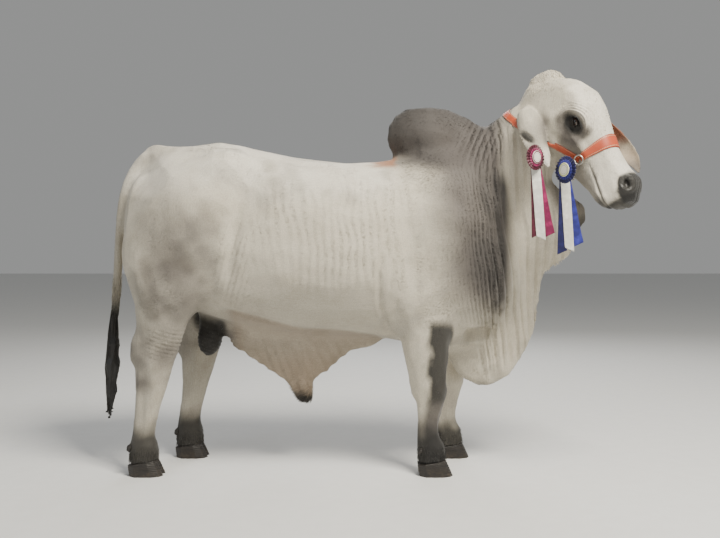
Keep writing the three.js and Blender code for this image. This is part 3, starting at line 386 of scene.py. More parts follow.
class Brush:
    """Lays tones over the coat at some places, with two soft noises that make their edges ragged."""

    def __init__(self, points: Rows) -> None:
        """Starts with cream at each place.

        Args:
            points: The places, a row each in the bull's own millimetres.
        """
        self.points = points
        self.soft = drift(points, 160, 3)
        self.fine = drift(points, 46, 4)
        self.colour = np.tile(np.array(Tone.CREAM.value), (len(points), 1))

    def parts(self) -> tuple:
        """What the markings are worked out from: x, y, z, both noises, and lay."""
        return *self.points.T, self.soft, self.fine, self.lay

    def lay(self, tone: Tone, share: Rows) -> None:
        """Lays a tone over the coat by a share."""
        weight = np.clip(share, 0, 1)[:, None]
        self.colour = self.colour * (1 - weight) + np.array(tone.value) * weight

    def coat(self) -> tuple[Rows, Rows]:
        """Lays the whole coat's markings and painted shade, one over the other.

        Returns:
            The colours, a row each, and 1 where the bare muzzle is moist.
        """
        x, y, z, soft, fine, lay = self.parts()
        lay(Tone.MILK, 0.75 * ramp(1150, 1330, z + 40 * soft) * ramp(160, 40, x))
        lay(Tone.PEARL, 0.55 * ramp(920, 700, z + 60 * soft) * ramp(300, -200, x))
        lay(Tone.PEARL, 0.45 * ramp(0.2, 0.9, soft + 0.5 * fine))
        lay(Tone.PEARL, 0.5 * ramp(200, 420, x) * ramp(500, 900, z))
        for at_x, at_z, reach, share in MARKINGS.thigh:
            away = np.hypot(x - at_x, z - at_z) + 0.24 * reach * soft + 16 * fine
            lay(Tone.SMOKE, share * ramp(reach * 1.3, 0, away) * ramp(60, 130, np.abs(y)))
        self._fore()
        self._legs()
        self._under()
        wet = self._head()
        return np.clip(self.colour, 0.004, 0.9), wet

    def _fore(self) -> None:
        """The smoky hump, neck and shoulder, and the rusty hair behind the hump."""
        x, y, z, soft, fine, lay = self.parts()
        blade = ramp(170, 430, x + 0.12 * (z - 1000) + 45 * soft)
        line = x - 592 + 0.144 * (z - 1040) - 10 * soft
        lay(Tone.SMOKE, 0.93 * blade * ramp(36, -16, line) * ramp(620, 820, z))
        depth = oval(x, z, (470, 960), (130, 190)) + 0.18 * soft
        lay(Tone.SLATE, 0.72 * ramp(1.1, 0.3, depth) * ramp(30, -10, line))
        streak = bell(line, 34) + 0.5 * bell(line + 70, 60)
        hairs = drift(self.points * (1, 1, 0.16), 34, 7)
        lay(Tone.SLATE, (0.92 + 0.3 * hairs) * streak * ramp(600, 760, z) * ramp(1400, 1240, z))
        dark = 0.8 * ramp(-0.1, 0.8, hairs) * streak
        lay(Tone.COAL, dark * ramp(640, 760, z) * ramp(1250, 1100, z))
        hump = ramp(1345, 1425, z + 22 * soft + 0.12 * x) * ramp(8, 60, x) * ramp(600, 500, x)
        lay(Tone.SMOKE, 0.95 * hump)
        lay(Tone.SLATE, 0.6 * hump * ramp(1430, 1590, z + 20 * fine))
        lay(Tone.SLATE, 0.6 * hump * ramp(330, 190, x + 0.4 * (z - 1500) + 20 * soft))
        crest = ramp(470, 540, x) * ramp(700, 600, x) * ramp(1330, 1450, z)
        lay(Tone.SMOKE, 0.45 * crest)
        rust = np.hypot((x - MARKINGS.rust_at[0]) / 62, (z - MARKINGS.rust_at[1]) / 44) + 0.3 * fine
        lay(Tone.RUST, 0.85 * ramp(1.15, 0.6, rust) * ramp(200, 140, np.abs(y)))

    def _legs(self) -> None:
        """The black stripes down the forearms, the smoky hocks and the black feet."""
        x, y, z, soft, fine, lay = self.parts()
        fore = ramp(40, 90, x) * ramp(520, 500, x) * ramp(62, 92, np.abs(y))
        step = np.where(y > 0, 112, 0) * ramp(900, 560, z)
        front = x - step - 236
        stripe = ramp(-14, 16, front + 9 * fine) * ramp(700, 640, z + 20 * soft + 0.25 * (x - 260))
        stripe *= ramp(40, -40, y) * ramp(352, 334, x + 5 * fine)
        lay(Tone.COAL, 0.95 * fore * stripe * (0.55 + 0.45 * ramp(265, 330, z)))
        near = fore * ramp(40, -40, y)
        lay(Tone.SMOKE, 0.85 * near * ramp(350, 270, z + 14 * fine) * ramp(-34, 6, front))
        lay(Tone.SLATE, 0.6 * near * ramp(300, 220, z + 14 * fine))
        hind = ramp(-560, -640, x)
        hock = bell(z - 545, 120) * (0.62 + 0.35 * soft + 0.2 * fine)
        lay(Tone.SMOKE, hind * np.clip(hock, 0, 0.85) * ramp(760, 640, z))
        lay(Tone.SMOKE, 0.3 * hind * ramp(430, 230, z) * ramp(0, 0.7, soft))
        feet = ramp(262, 158, z + 16 * fine + 12 * soft + 60 * fore * ramp(-40, 40, y))
        lay(Tone.COAL, 0.93 * feet * (fore + hind))

    def _under(self) -> None:
        """The sheath and its black tip, painted shade under the belly's overhang, the scrotum, the brisket's
        dark edge and the tail.
        """
        x, y, z, soft, fine, lay = self.parts()
        below = np.interp(x, *MARKINGS.belly) - z
        # Painted shade below the belly line, where the belly overhangs the sheath; the tan over the apron is
        # partly its own brownish tone, partly painted shade.
        apron = ramp(-660, -600, x) * ramp(110, 60, x) * ramp(-4, 12, below)
        lay(Tone.SMOKE, 0.42 * apron * ramp(110, 0, below + 12 * soft))
        lay(Tone.TAN, 0.4 * apron)
        belly = ramp(-700, -600, x) * ramp(120, 20, x) * ramp(150, 90, np.abs(y))
        lay(Tone.TAN, 0.55 * belly * ramp(600, 420, z + 30 * soft))
        lay(Tone.COAL, 0.95 * belly * ramp(352, 318, z + 7 * fine))
        bag = ramp(-860, -820, x) * ramp(-650, -680, x) * ramp(112, 92, np.abs(y))
        lay(Tone.COAL, 0.92 * bag * ramp(735, 660, z + 15 * soft) * ramp(460, 480, z))
        edge = oval(x, z, (684, 536), (40, 46)) + 0.3 * fine
        lay(Tone.COAL, 0.9 * ramp(1.2, 0.6, edge))
        tail = ramp(-1095, -1125, x) * ramp(1330, 1180, z)
        lay(Tone.PEARL, 0.7 * tail)
        lay(Tone.COAL, 0.95 * tail * ramp(800, 690, z))

    def _head(self) -> Rows:
        """The pale face, the dark eye patches, muzzle and lips, and the ears, with painted shade under the
        brow and eyes, under the jaw, and at the near ear's front edge and opening.

        Returns:
            1 where the muzzle is moist.
        """
        x, y, z, soft, fine, lay = self.parts()
        along, left, out = STAND.to_head(self.points).T
        side = np.abs(left)
        here = ramp(-110, -40, along + 0.8 * out) * ramp(560, 620, x)
        lay(Tone.CREAM, 0.85 * here)
        here = here * ramp(-205, -170, out)
        lay(Tone.MILK, 0.65 * here * ramp(120, 170, out + 12 * soft))
        lay(Tone.MILK, 0.55 * here * ramp(380, 450, along + 14 * soft) * ramp(-40, 40, out))
        lay(Tone.PEARL, 0.4 * here * ramp(0.1, 0.8, fine + soft) * ramp(300, 100, along))
        skin = here * ramp(55, 75, side)
        # Painted shade below the eye, down to the cheek strap.
        under = oval(along, out, (312, 42), (80, 46)) + 0.14 * fine
        lay(Tone.SMOKE, 0.62 * skin * ramp(1.25, 0.65, under))
        # Painted shade on the head skin along the near ear's front edge.
        rim = 0.5 * (along - 223) + 0.866 * (out + 35)
        run = 0.5 * (out + 35) - 0.866 * (along - 223)
        lay(Tone.SMOKE, 0.62 * skin * (left < 0) * bell(rim - 6, 20) * ramp(-120, -60, run)
            * ramp(120, 70, run))
        # Partly the dark eye patch, partly painted shade under the brow.
        shadow = oval(along, out, (262, 78), (80, 60)) + 0.14 * fine
        lay(Tone.SMOKE, 0.8 * skin * ramp(1.25, 0.75, shadow))
        patch = oval(along, out, (248, 92), (46, 36)) + 0.1 * fine
        lay(Tone.COAL, 0.92 * skin * ramp(1.25, 0.75, patch))
        nose = along + 1.95 * out + 1.6 * np.maximum(side, 33) + 7 * fine
        hole = np.linalg.norm(np.stack([along - 577, side - 50, out - 151], 1), axis=1)
        bare = here * np.maximum(ramp(910, 930, nose) * ramp(526, 546, along), ramp(38, 30, hole))
        lay(Tone.COAL, 0.97 * bare)
        lip = np.abs(out - 42 + 0.1 * (along - 600))
        lay(Tone.SLATE, 0.75 * here * bell(lip, 6) * ramp(440, 480, along))
        # Painted shade under the lower jaw.
        lay(Tone.SMOKE, 0.55 * here * ramp(46, 26, out) * ramp(300, 380, along + 10 * fine))
        lay(Tone.COAL, 0.85 * here * ramp(44, 30, out) * ramp(540, 600, along + 8 * fine))
        lay(Tone.COAL, 0.93 * here * ramp(606, 620, along + 4 * fine) * ramp(110, 90, side))
        near = (y < -255) & (x > 590) & (x < 775) & (left < 0)
        near = near * ramp(114, 126, side) * ramp(1280, 1300, z) * ramp(1640, 1600, z)
        lay(Tone.PEARL, 0.5 * near * ramp(-0.6, 0.8, fine + soft))
        lay(Tone.MILK, 0.8 * near * ramp(1420, 1380, z + 8 * fine))
        # Black painted shade in the near ear's opening.
        lay(Tone.COAL, 0.92 * near * ramp(1.25, 0.6, MARKINGS.ear_hollow(x, z, 40, 17) + 0.15 * fine))
        # Painted shade along the near ear's front edge.
        lay(Tone.SMOKE, 0.7 * near * bell(x - 722, 22) * ramp(1580, 1500, z) * ramp(1400, 1430, z))
        far = (left > 108) & (x > 860)
        lay(Tone.FLUSH, 0.85 * far * ramp(1440, 1500, z + 14 * soft))
        lay(Tone.TAN, 0.7 * far * ramp(1480, 1420, z + 14 * soft))
        lay(Tone.SMOKE, 0.7 * far * ramp(1400, 1350, z + 10 * fine))
        return bare


class HideFinish(Shader):
    """Short cattle hair over skin: soft grey ticking, a fine lie and a moist muzzle."""

    hair: float = 0.0005
    crease: float = 0.0011

    def __init__(self) -> None:
        """Dresses the hide."""
        super().__init__("hide")
        coat = self.painted("Coat")
        wet = self.mask("Wet")
        steep = self.mask("Steep")
        ticking = self.noise(260, 5, 0.65)
        cloud = self.noise(9, 4, 0.6)
        tint = self.mix(ticking.step(0.35, 0.7) * 0.3, coat, (0.24, 0.22, 0.2), "MULTIPLY")
        tint = self.mix(cloud.step(0.42, 0.72) * 0.28, tint, (0.62, 0.58, 0.52), "MULTIPLY")
        along = self.noise(1, 3, 0.6, (22, 260, 260))
        down = self.noise(1, 3, 0.6, (260, 260, 22))
        strands = along * (1 - steep) + down * steep
        plates = self.cells("DISTANCE_TO_EDGE", 190).step(0, 0.16)
        wrinkle = self.noise(70, 5, 0.55, (1, 1, 0.4))
        fold = self.bump(wrinkle, self.crease, 0.4)
        height = strands * (1 - wet) + plates * wet
        self.surface(
            Base_Color=self.mix(strands.step(0.3, 0.7) * 0.22, tint, (0.4, 0.38, 0.35), "MULTIPLY"),
            Roughness=0.74 - wet * 0.42 + (ticking - 0.5) * 0.12,
            Normal=self.bump(height, self.hair, 0.75, Normal=fold),
            Sheen_Weight=0.12, Sheen_Roughness=0.5, Specular_IOR_Level=0.35)


class CoatFinish(Shader):
    """Tufts of hair: each a little lighter or darker, paler towards its tip."""

    name: str = "coat"
    rough: float = 0.62

    def __init__(self) -> None:
        """Dresses the tufts."""
        super().__init__(self.name)
        coat, each, tip = self.painted("Coat"), self.mask("Each"), self.mask("Tip")
        shade = self.mix(each * 0.35, coat, (0.45, 0.42, 0.38), "MULTIPLY")
        shade = self.mix(tip, shade, (1.22, 1.21, 1.18), "MULTIPLY")
        streak = self.noise(900, 2)
        self.surface(
            Base_Color=self.mix(streak.step(0.3, 0.7) * 0.2, shade, (0.5, 0.47, 0.43), "MULTIPLY"),
            Roughness=self.rough + each * 0.1, Sheen_Weight=0.1, Specular_IOR_Level=0.4)


def only(*objects: Object) -> Object:
    """Selects these objects alone and makes the first one active.

    Args:
        objects: One object or more.

    Returns:
        The first one.
    """
    bpy.ops.object.select_all(action="DESELECT")
    for item in objects:
        item.select_set(True)
    bpy.context.view_layer.objects.active = objects[0]
    return objects[0]


def joined(name: str, *pieces: Object) -> Object:
    """Joins pieces into the first one.

    Args:
        name: What the whole is called.
        pieces: One object or more.

    Returns:
        The whole.
    """
    whole = only(*pieces)
    if len(pieces) > 1:
        bpy.ops.object.join()
    whole.name = whole.data.name = name
    return whole


def edit(piece: Object, *steps: Callable[[], set]) -> None:
    """Runs operators in edit mode with the whole of a piece selected.

    Args:
        piece: The mesh.
        steps: What to run, in turn.
    """
    only(piece)
    bpy.ops.object.mode_set(mode="EDIT")
    bpy.ops.mesh.select_all(action="SELECT")
    for step in steps:
        step()
    bpy.ops.object.mode_set(mode="OBJECT")


def edit_some(piece: Object, where: Rows, step: Callable[[], set]) -> None:
    """Runs an operator in edit mode on some vertices.

    Args:
        piece: The mesh.
        where: Which of its vertices.
        step: What to run.
    """
    only(piece)
    for parts in (piece.data.polygons, piece.data.edges):
        parts.foreach_set("select", np.zeros(len(parts), bool))
    piece.data.vertices.foreach_set("select", where)
    bpy.ops.object.mode_set(mode="EDIT")
    bpy.ops.mesh.select_mode(type="VERT")
    step()
    bpy.ops.object.mode_set(mode="OBJECT")


def point_outwards() -> set:
    """Turns the selected faces outwards, in edit mode."""
    return bpy.ops.mesh.normals_make_consistent(inside=False)


def primitive(name: str, add: Callable[..., set], **sizes: float) -> Object:
    """Adds one of Blender's own forms.

    Args:
        name: What it is called.
        add: The operator that adds it.
        sizes: The operator's settings.

    Returns:
        The object.
    """
    bpy.ops.object.select_all(action="DESELECT")
    add(**sizes)
    piece = bpy.context.object
    piece.name = piece.data.name = name
    return piece


def copies(nodes: list[str], name: str) -> Object:
    """Copies CAD nodes into one new object.

    Args:
        nodes: The nodes' names.
        name: What it is called.

    Returns:
        The object, its doubled vertices merged.
    """
    made = []
    for node in nodes:
        twin = frame["nodes"][node].copy()
        twin.data = twin.data.copy()
        twin.parent = None
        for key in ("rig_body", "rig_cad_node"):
            twin.pop(key, None)
        twin.data.materials.clear()
        bpy.context.scene.collection.objects.link(twin)
        twin.hide_render = twin.hide_viewport = False
        twin.hide_set(False)
        made.append(twin)
    whole = joined(name, *made)
    edit(whole, lambda: bpy.ops.mesh.remove_doubles(threshold=1e-5))
    return whole


def finish_with(piece: Object, kind: str, **settings: object) -> None:
    """Adds a modifier to a piece and applies it.

    Args:
        piece: The mesh.
        kind: The modifier's type.
        settings: Its properties.
    """
    only(piece)
    modifier = piece.modifiers.new(kind.lower(), kind)
    for name, value in settings.items():
        setattr(modifier, name, value)
    bpy.ops.object.modifier_apply(modifier=modifier.name)


def lighten(piece: Object, budget: int) -> None:
    """Turns a piece into triangles, and fewer where it has too many.

    Args:
        piece: The mesh.
        budget: How many it may have.
    """
    finish_with(piece, "TRIANGULATE")
    ratio = budget / len(piece.data.polygons)
    if ratio < 1:
        finish_with(piece, "DECIMATE", decimate_type="COLLAPSE", ratio=ratio)


def fuse(piece: Object, cell: float) -> None:
    """Remakes a piece as one closed surface of quads, cell metres wide."""
    finish_with(piece, "REMESH", mode="VOXEL", voxel_size=cell)


def read(parts: bpy.types.bpy_prop_collection, key: str, width: int, kind: type = float) -> Rows:
    """Reads one property of all parts of a mesh.

    Args:
        parts: Its vertices, edges, faces or loops.
        key: The property.
        width: How many numbers it has a part.
        kind: The type of the numbers.

    Returns:
        A row for each part.
    """
    flat = np.empty(len(parts) * width, kind)
    parts.foreach_get(key, flat)
    return flat.reshape(-1, width)


def places(piece: Object) -> Rows:
    """The piece's vertices, a row each, in metres."""
    return read(piece.data.vertices, "co", 3)


def put(piece: Object, where: Rows) -> None:
    """Moves the piece's vertices."""
    piece.data.vertices.foreach_set("co", np.ascontiguousarray(where, dtype=np.float64).ravel())
    piece.data.update()


def measured(piece: Object) -> Rows:
    """The piece's vertices, a row each, in the bull's own measures."""
    return STAND.measures(places(piece))


def normals(piece: Object) -> Rows:
    """The piece's vertex normals, a row each."""
    return read(piece.data.vertex_normals, "vector", 3, np.float32).astype(float)


def paint(piece: Object, name: str, values: Rows) -> None:
    """Stores a colour or a number for each vertex.

    Args:
        piece: The mesh.
        name: The attribute's name.
        values: A row of three or a number for each vertex.
    """
    kind, key = ("FLOAT_COLOR", "color") if values.ndim == 2 else ("FLOAT", "value")
    if values.ndim == 2:
        values = np.concatenate([values, np.ones((len(values), 1))], axis=1)
    layer = piece.data.attributes.new(name, kind, "POINT")
    layer.data.foreach_set(key, np.ascontiguousarray(values, dtype=np.float32).ravel())


def relax(piece: Object, rounds: int, share: Rows | float = 1) -> None:
    """Evens a surface out without shrinking it.

    Args:
        piece: The mesh.
        rounds: How often each vertex moves towards its neighbours and half as far back.
        share: How much of the move each vertex makes.
    """
    where = places(piece)
    count = len(where)
    first, second = read(piece.data.edges, "vertices", 2, np.int64).T
    here, there = np.concatenate([first, second]), np.concatenate([second, first])
    reach = np.maximum(np.bincount(here, minlength=count), 1)[:, None]
    amount = np.broadcast_to(np.asarray(share, float), (count,))[:, None]
    for _ in range(rounds):
        for step in (0.5, -0.52):
            mean = np.stack([np.bincount(here, where[there, k], minlength=count) for k in range(3)], 1)
            where += step * amount * (mean / reach - where)
    put(piece, where)


def outward(piece: Object, middle: Rows | None = None) -> None:
    """Shades a piece smooth with its faces pointing outwards.

    Args:
        piece: The mesh.
        middle: For an open sheet, the place in metres that its faces point away from.
    """
    edit(piece, point_outwards)
    if middle is not None and np.sum((places(piece) - middle) * normals(piece)) < 0:
        piece.data.flip_normals()
    bpy.ops.object.shade_smooth()


def patch(name: str, columns: int, rows: int) -> tuple[Object, Rows, Rows]:
    """A flat grid to be laid over a curved place.

    Args:
        name: What it is called.
        columns: How many squares it has one way.
        rows: How many it has the other way.

    Returns:
        The grid, and how far along both ways each vertex lies, from 0 to 1.
    """
    piece = primitive(name, bpy.ops.mesh.primitive_grid_add, x_subdivisions=columns, y_subdivisions=rows,
                      size=1)
    flat = places(piece)
    return piece, flat[:, 0] + 0.5, flat[:, 1] + 0.5


def from_triangles(name: str, corners: Rows, triangles: Rows) -> Object:
    """A mesh of many small closed forms.

    Args:
        name: What it is called.
        corners: Its places in metres, a row each.
        triangles: Three corners' numbers a row.

    Returns:
        The object.
    """
    mesh = bpy.data.meshes.new(name)
    mesh.vertices.add(len(corners))
    mesh.loops.add(triangles.size)
    mesh.polygons.add(len(triangles))
    mesh.vertices.foreach_set("co", np.ascontiguousarray(corners, dtype=np.float32).ravel())
    mesh.loops.foreach_set("vertex_index", np.ascontiguousarray(triangles, dtype=np.int32).ravel())
    mesh.polygons.foreach_set("loop_start", np.arange(0, triangles.size, 3, dtype=np.int32))
    mesh.polygons.foreach_set("use_smooth", np.ones(len(triangles), bool))
    mesh.update(calc_edges=True)
    mesh.validate()
    piece = bpy.data.objects.new(name, mesh)
    bpy.context.scene.collection.objects.link(piece)
    return piece


def strands(name: str, spines: Rows, across: Rows, wide: Rows, flat: float = 0.6,
            taper: Rows | None = None) -> Object:
    """Locks or hairs of three sides, each closed and running out to a point.

    Args:
        name: What it is called.
        spines: The middle line of each, strand by step by place, in the bull's millimetres.
        across: The way that each is widest, a row each.
        wide: Half the width of each at its root, in millimetres.
        flat: How thick it is against its width.
        taper: The width at each step against the root's.

    Returns:
        The strands, all in one object.
    """
    count, steps = spines.shape[:2]
    taper = np.linspace(1, 0.4, steps) if taper is None else taper
    tangent = unit(np.gradient(spines, axis=1))
    side = unit(across[:, None] - tangent * np.sum(across[:, None] * tangent, axis=2, keepdims=True))
    over = np.cross(tangent, side)
    half = (wide[:, None] * taper[None])[..., None]
    ring = np.stack([spines - side * half - over * half * flat * 0.4,
                     spines + side * half - over * half * flat * 0.4, spines + over * half * flat], 2)
    body = ring[:, :-1].reshape(count, -1, 3)
    corners = np.concatenate([body, spines[:, -1:]], axis=1)
    faces = [(0, 2, 1)]
    for step in range(steps - 2):
        for k in range(3):
            a, b = 3 * step + k, 3 * step + (k + 1) % 3
            faces += [(a, b, b + 3), (a, b + 3, a + 3)]
    last, tip = 3 * (steps - 2), 3 * (steps - 1)
    faces += [(last + k, last + (k + 1) % 3, tip) for k in range(3)]
    each = corners.shape[1]
    triangles = (np.array(faces)[None] + np.arange(count)[:, None, None] * each).reshape(-1, 3)
    piece = from_triangles(name, STAND.metres(corners.reshape(-1, 3)), triangles)
    share = np.concatenate([np.repeat(np.linspace(0, 1, steps)[:-1], 3), [1]])
    paint(piece, "Tip", np.tile(share, count))
    return piece


@dataclass(frozen=True)
class Mass:
    """A muscle or hollow seen from the side: an oval of the flank that stands out or sinks in."""

    at: Pair
    reach: Pair
    rise: float
    lean: float = 0

    def lift(self, x: Rows, z: Rows) -> Rows:
        """How far it moves the hide outwards.

        Args:
            x: How far forward places lie.
            z: How high.

        Returns:
            Millimetres.
        """
        turn = math.radians(self.lean)
        u, w = x - self.at[0], z - self.at[1]
        along = (u * math.cos(turn) + w * math.sin(turn)) / self.reach[0]
        across = (w * math.cos(turn) - u * math.sin(turn)) / self.reach[1]
        return self.rise * np.exp(-(along ** 2 + across ** 2))


@dataclass
class Relief:
    """How far places on the hide move outwards, in millimetres, for what lies under it."""

    points: Rows
    facing: Rows
    masses: tuple[Mass, ...] = (
        Mass((-560, 1190), (95, 120), -15), Mass((-700, 1010), (130, 190), 11, 70),
        Mass((-600, 980), (25, 160), -15, -8), Mass((-905, 1180), (60, 130), -7),
        Mass((-650, 1335), (70, 50), 9), Mass((-640, 800), (90, 60), 8),
        Mass((150, 1000), (34, 260), -9, 8), Mass((330, 1120), (60, 230), 9, 78),
        Mass((300, 760), (110, 70), 9, 30), Mass((420, 1010), (30, 200), -7, -12),
        Mass((190, 640), (60, 50), -6), Mass((-250, 1250), (260, 60), 4))
    fold_every: float = 37
    ripple_every: float = 36

    def lift(self) -> Rows:
        """Muscles, folds, tendons and the head's detail, all together."""
        return self._muscles() + self._folds() + self._limbs() + self._face()

    def _muscles(self) -> Rows:
        """The masses of the flanks and the flat lumps of muscle under the coat.

        Returns:
            How far each place moves.
        """
        x, y, z = self.points.T
        side = ramp(0.25, 0.75, np.abs(self.facing[:, 1])) * ramp(60, 150, np.abs(y)) * ramp(720, 560, x)
        total = sum(mass.lift(x, z) for mass in self.masses) * side
        return total + 1.6 * drift(self.points, 210, 11) * ramp(380, 560, z)

    def _folds(self) -> Rows:
        """The hanging folds of neck and dewlap and the fine ripples of the barrel.

        Returns:
            How far each place moves.
        """
        x, y, z = self.points.T
        sway = drift(self.points * (1, 0.3, 0.35), 260, 21)
        across = x + 0.2 * (z - 1150) * 0.6 + 20 * sway
        hang = pleat(across, self.fold_every) ** 0.75
        fine = pleat(across + 9 * drift(self.points, 120, 22), self.fold_every * 0.47)
        side = ramp(0.15, 0.55, np.abs(self.facing[:, 1]))
        behind = ramp(20, -30, STAND.ahead(self.points))
        neck = side * ramp(440, 560, x) * ramp(400, 520, z) * behind
        depth = 7.6 + 5 * ramp(1080, 900, z) + 2.6 * drift(self.points, 340, 23)
        folds = neck * (depth * (hang - 0.72) + 2.6 * (fine - 0.6))
        nape = side * bell(oval(x, z, (488, 1432), (78, 110)))
        bend = 36 * np.logaddexp(0, (z - 1400) / 60)
        crease = pleat(x - bend + 14 * sway, 27) ** 0.6
        folds += nape * 9 * (crease - 0.62)
        shoulder = side * ramp(250, 430, x) * ramp(560, 470, x) * ramp(560, 760, z)
        folds += shoulder * ramp(1440, 1300, z) * 1.5 * (fine - 0.6)
        warp = 26 * sway + 9 * drift(self.points, 90, 24)
        lines = wave(x + 0.1 * z + warp, self.ripple_every)
        barrel = side * bell(x + 190, 240) * ramp(760, 900, z) * ramp(1330, 1180, z)
        folds += barrel * (0.75 + 0.4 * sway) * 2.3 * lines
        apron = side * ramp(-720, -620, x) * ramp(60, -60, x) * ramp(600, 520, z)
        folds += apron * 2 * wave(x + 0.45 * z + 16 * sway, 46)
        line = z - np.interp(x, *MARKINGS.belly)
        apron = side * ramp(-640, -560, x) * ramp(110, 60, x)
        folds += apron * (4.5 * bell(line - 26, 30) - 7.5 * bell(line + 5, 12))
        elbow = x - np.interp(z, (640, 740, 890, 1010), (66, 27, 17, 44))
        reach = side * ramp(600, 660, z) * ramp(1020, 900, z)
        folds += reach * (3.5 * bell(elbow - 24, 24) - 8 * bell(elbow, 11))
        flank = bell(x + 590 - 0.1 * (z - 1000), 60) * ramp(690, 820, z) * ramp(1150, 1000, z)
        folds -= 10 * bell(MARKINGS.ear_hollow(x, z, 34, 14)) * (y < -262)
        return folds + side * flank * 1.3 * wave(x - 0.3 * z, 26)

    def _limbs(self) -> Rows:
        """Tendons, knees, wrinkled hocks and the rings above the hooves.

        Returns:
            How far each place moves.
        """
        x, y, z = self.points.T
        fore_x = 242 + np.where(y > 0, 112, 0) * ramp(900, 560, z)
        hind_x = -975 + np.where(y > 0, 135, 0) * ramp(980, 600, z)
        fore, hind = (x > -20) & (z < 620) & (x < 480), x < -560
        side = ramp(0.35, 0.8, np.abs(self.facing[:, 1]))
        front, back, total = x - fore_x, x - hind_x, 0
        for limb, rise, off, wide, high, tall in (
                (fore, -3.6, front + 20, 11, 235, 75), (fore, 2.4, front - 8, 16, 235, 90),
                (hind, -4.2, back + 26, 12, 290, 110), (hind, -5, back + 30 + 0.1 * (z - 560), 14, 620, 70)):
            total += np.where(limb, rise * side * bell(off, wide) * bell(z - high, tall), 0)
        sway = drift(self.points, 150, 31)
        wrinkles = wave(z + 0.3 * back + 9 * sway, 19)
        total += np.where(hind, 2.4 * wrinkles * bell(z - 572, 66) * ramp(-50, 30, back), 0)
        total += np.where(hind | fore, wave(z + 5 * sway, 15) * bell(z - 98, 34), 0)
        bumps = np.where(fore, 3.5 * bell(z - 372, 32) * bell(front - 40, 46), 0)
        return total + bumps + np.where(hind | fore, 2.2 * bell(z - 68, 8), 0)

    def _face(self) -> Rows:
        """Brow, cheek, jaw and nose edges, wrinkles, nostrils and lips.

        Returns:
            How far each place moves.
        """
        along, left, out = STAND.to_head(self.points).T
        side = np.abs(left)
        here = ramp(-70, 0, along) * ramp(-190, -150, out) * ramp(205, 185, side)
        here *= ramp(-6, 30, STAND.ahead(self.points))
        eye = np.stack([along, side, out], 1) - STAND.eye_at
        away = np.hypot(eye[:, 0] * 0.8, eye[:, 2])
        arc = np.hypot(along - 254, out - 86)
        above = ramp(-0.35, 0.25, (0.87 * (out - 86) - 0.5 * (along - 254)) / np.maximum(arc, 1))
        cheek = ramp(45, 70, side)
        total = 7 * here * cheek * above * bell(arc - 61, 15)
        total -= 7 * here * cheek * bell(arc - 41, 12) * (0.45 + 0.55 * above)
        brow = here * above * ramp(52, 62, arc) * ramp(112, 84, arc)
        total += brow * 2.1 * wave(arc + 5 * drift(self.points, 60, 41), 10.5)
        total -= 2.6 * (here * bell(away - 37, 6) * ramp(8, -14, eye[:, 2]) * cheek)
        for rise, at, reach, where in (
                (-5, (325, 96), (46, 15), cheek), (3.5, (330, 66), (90, 10), cheek),
                (-4.5, (235, -2), (70, 16), 1), (4, (130, -50), (80, 60), 1),
                (-3, (470, 110), (60, 18), cheek)):
            total += rise * here * bell(oval(along, out, at, reach)) * where
        mouth = np.abs(out - 42 + 0.1 * (along - 600))
        total -= 5 * here * bell(mouth, 4.2) * ramp(405, 440, along)
        total += 1.8 * here * bell(mouth - 12, 6) * ramp(430, 480, along)
        pad = here * bell(np.linalg.norm(np.stack([along - 566, 0.5 * side, out - 172], 1), axis=1), 46)
        total += 13 * pad
        hole = np.linalg.norm(np.stack([along - 577, side - 50, out - 151], 1) * (0.85, 1, 1), axis=1)
        total += 3.4 * here * bell(hole - 30, 6)
        total -= 3 * here * bell(side, 5) * ramp(575, 590, along) * ramp(60, 90, out)
        chin = here * ramp(480, 540, along) * ramp(20, -10, out)
        return total + chin * 0.9 * wave(left + 6 * drift(self.points, 40, 43), 14)


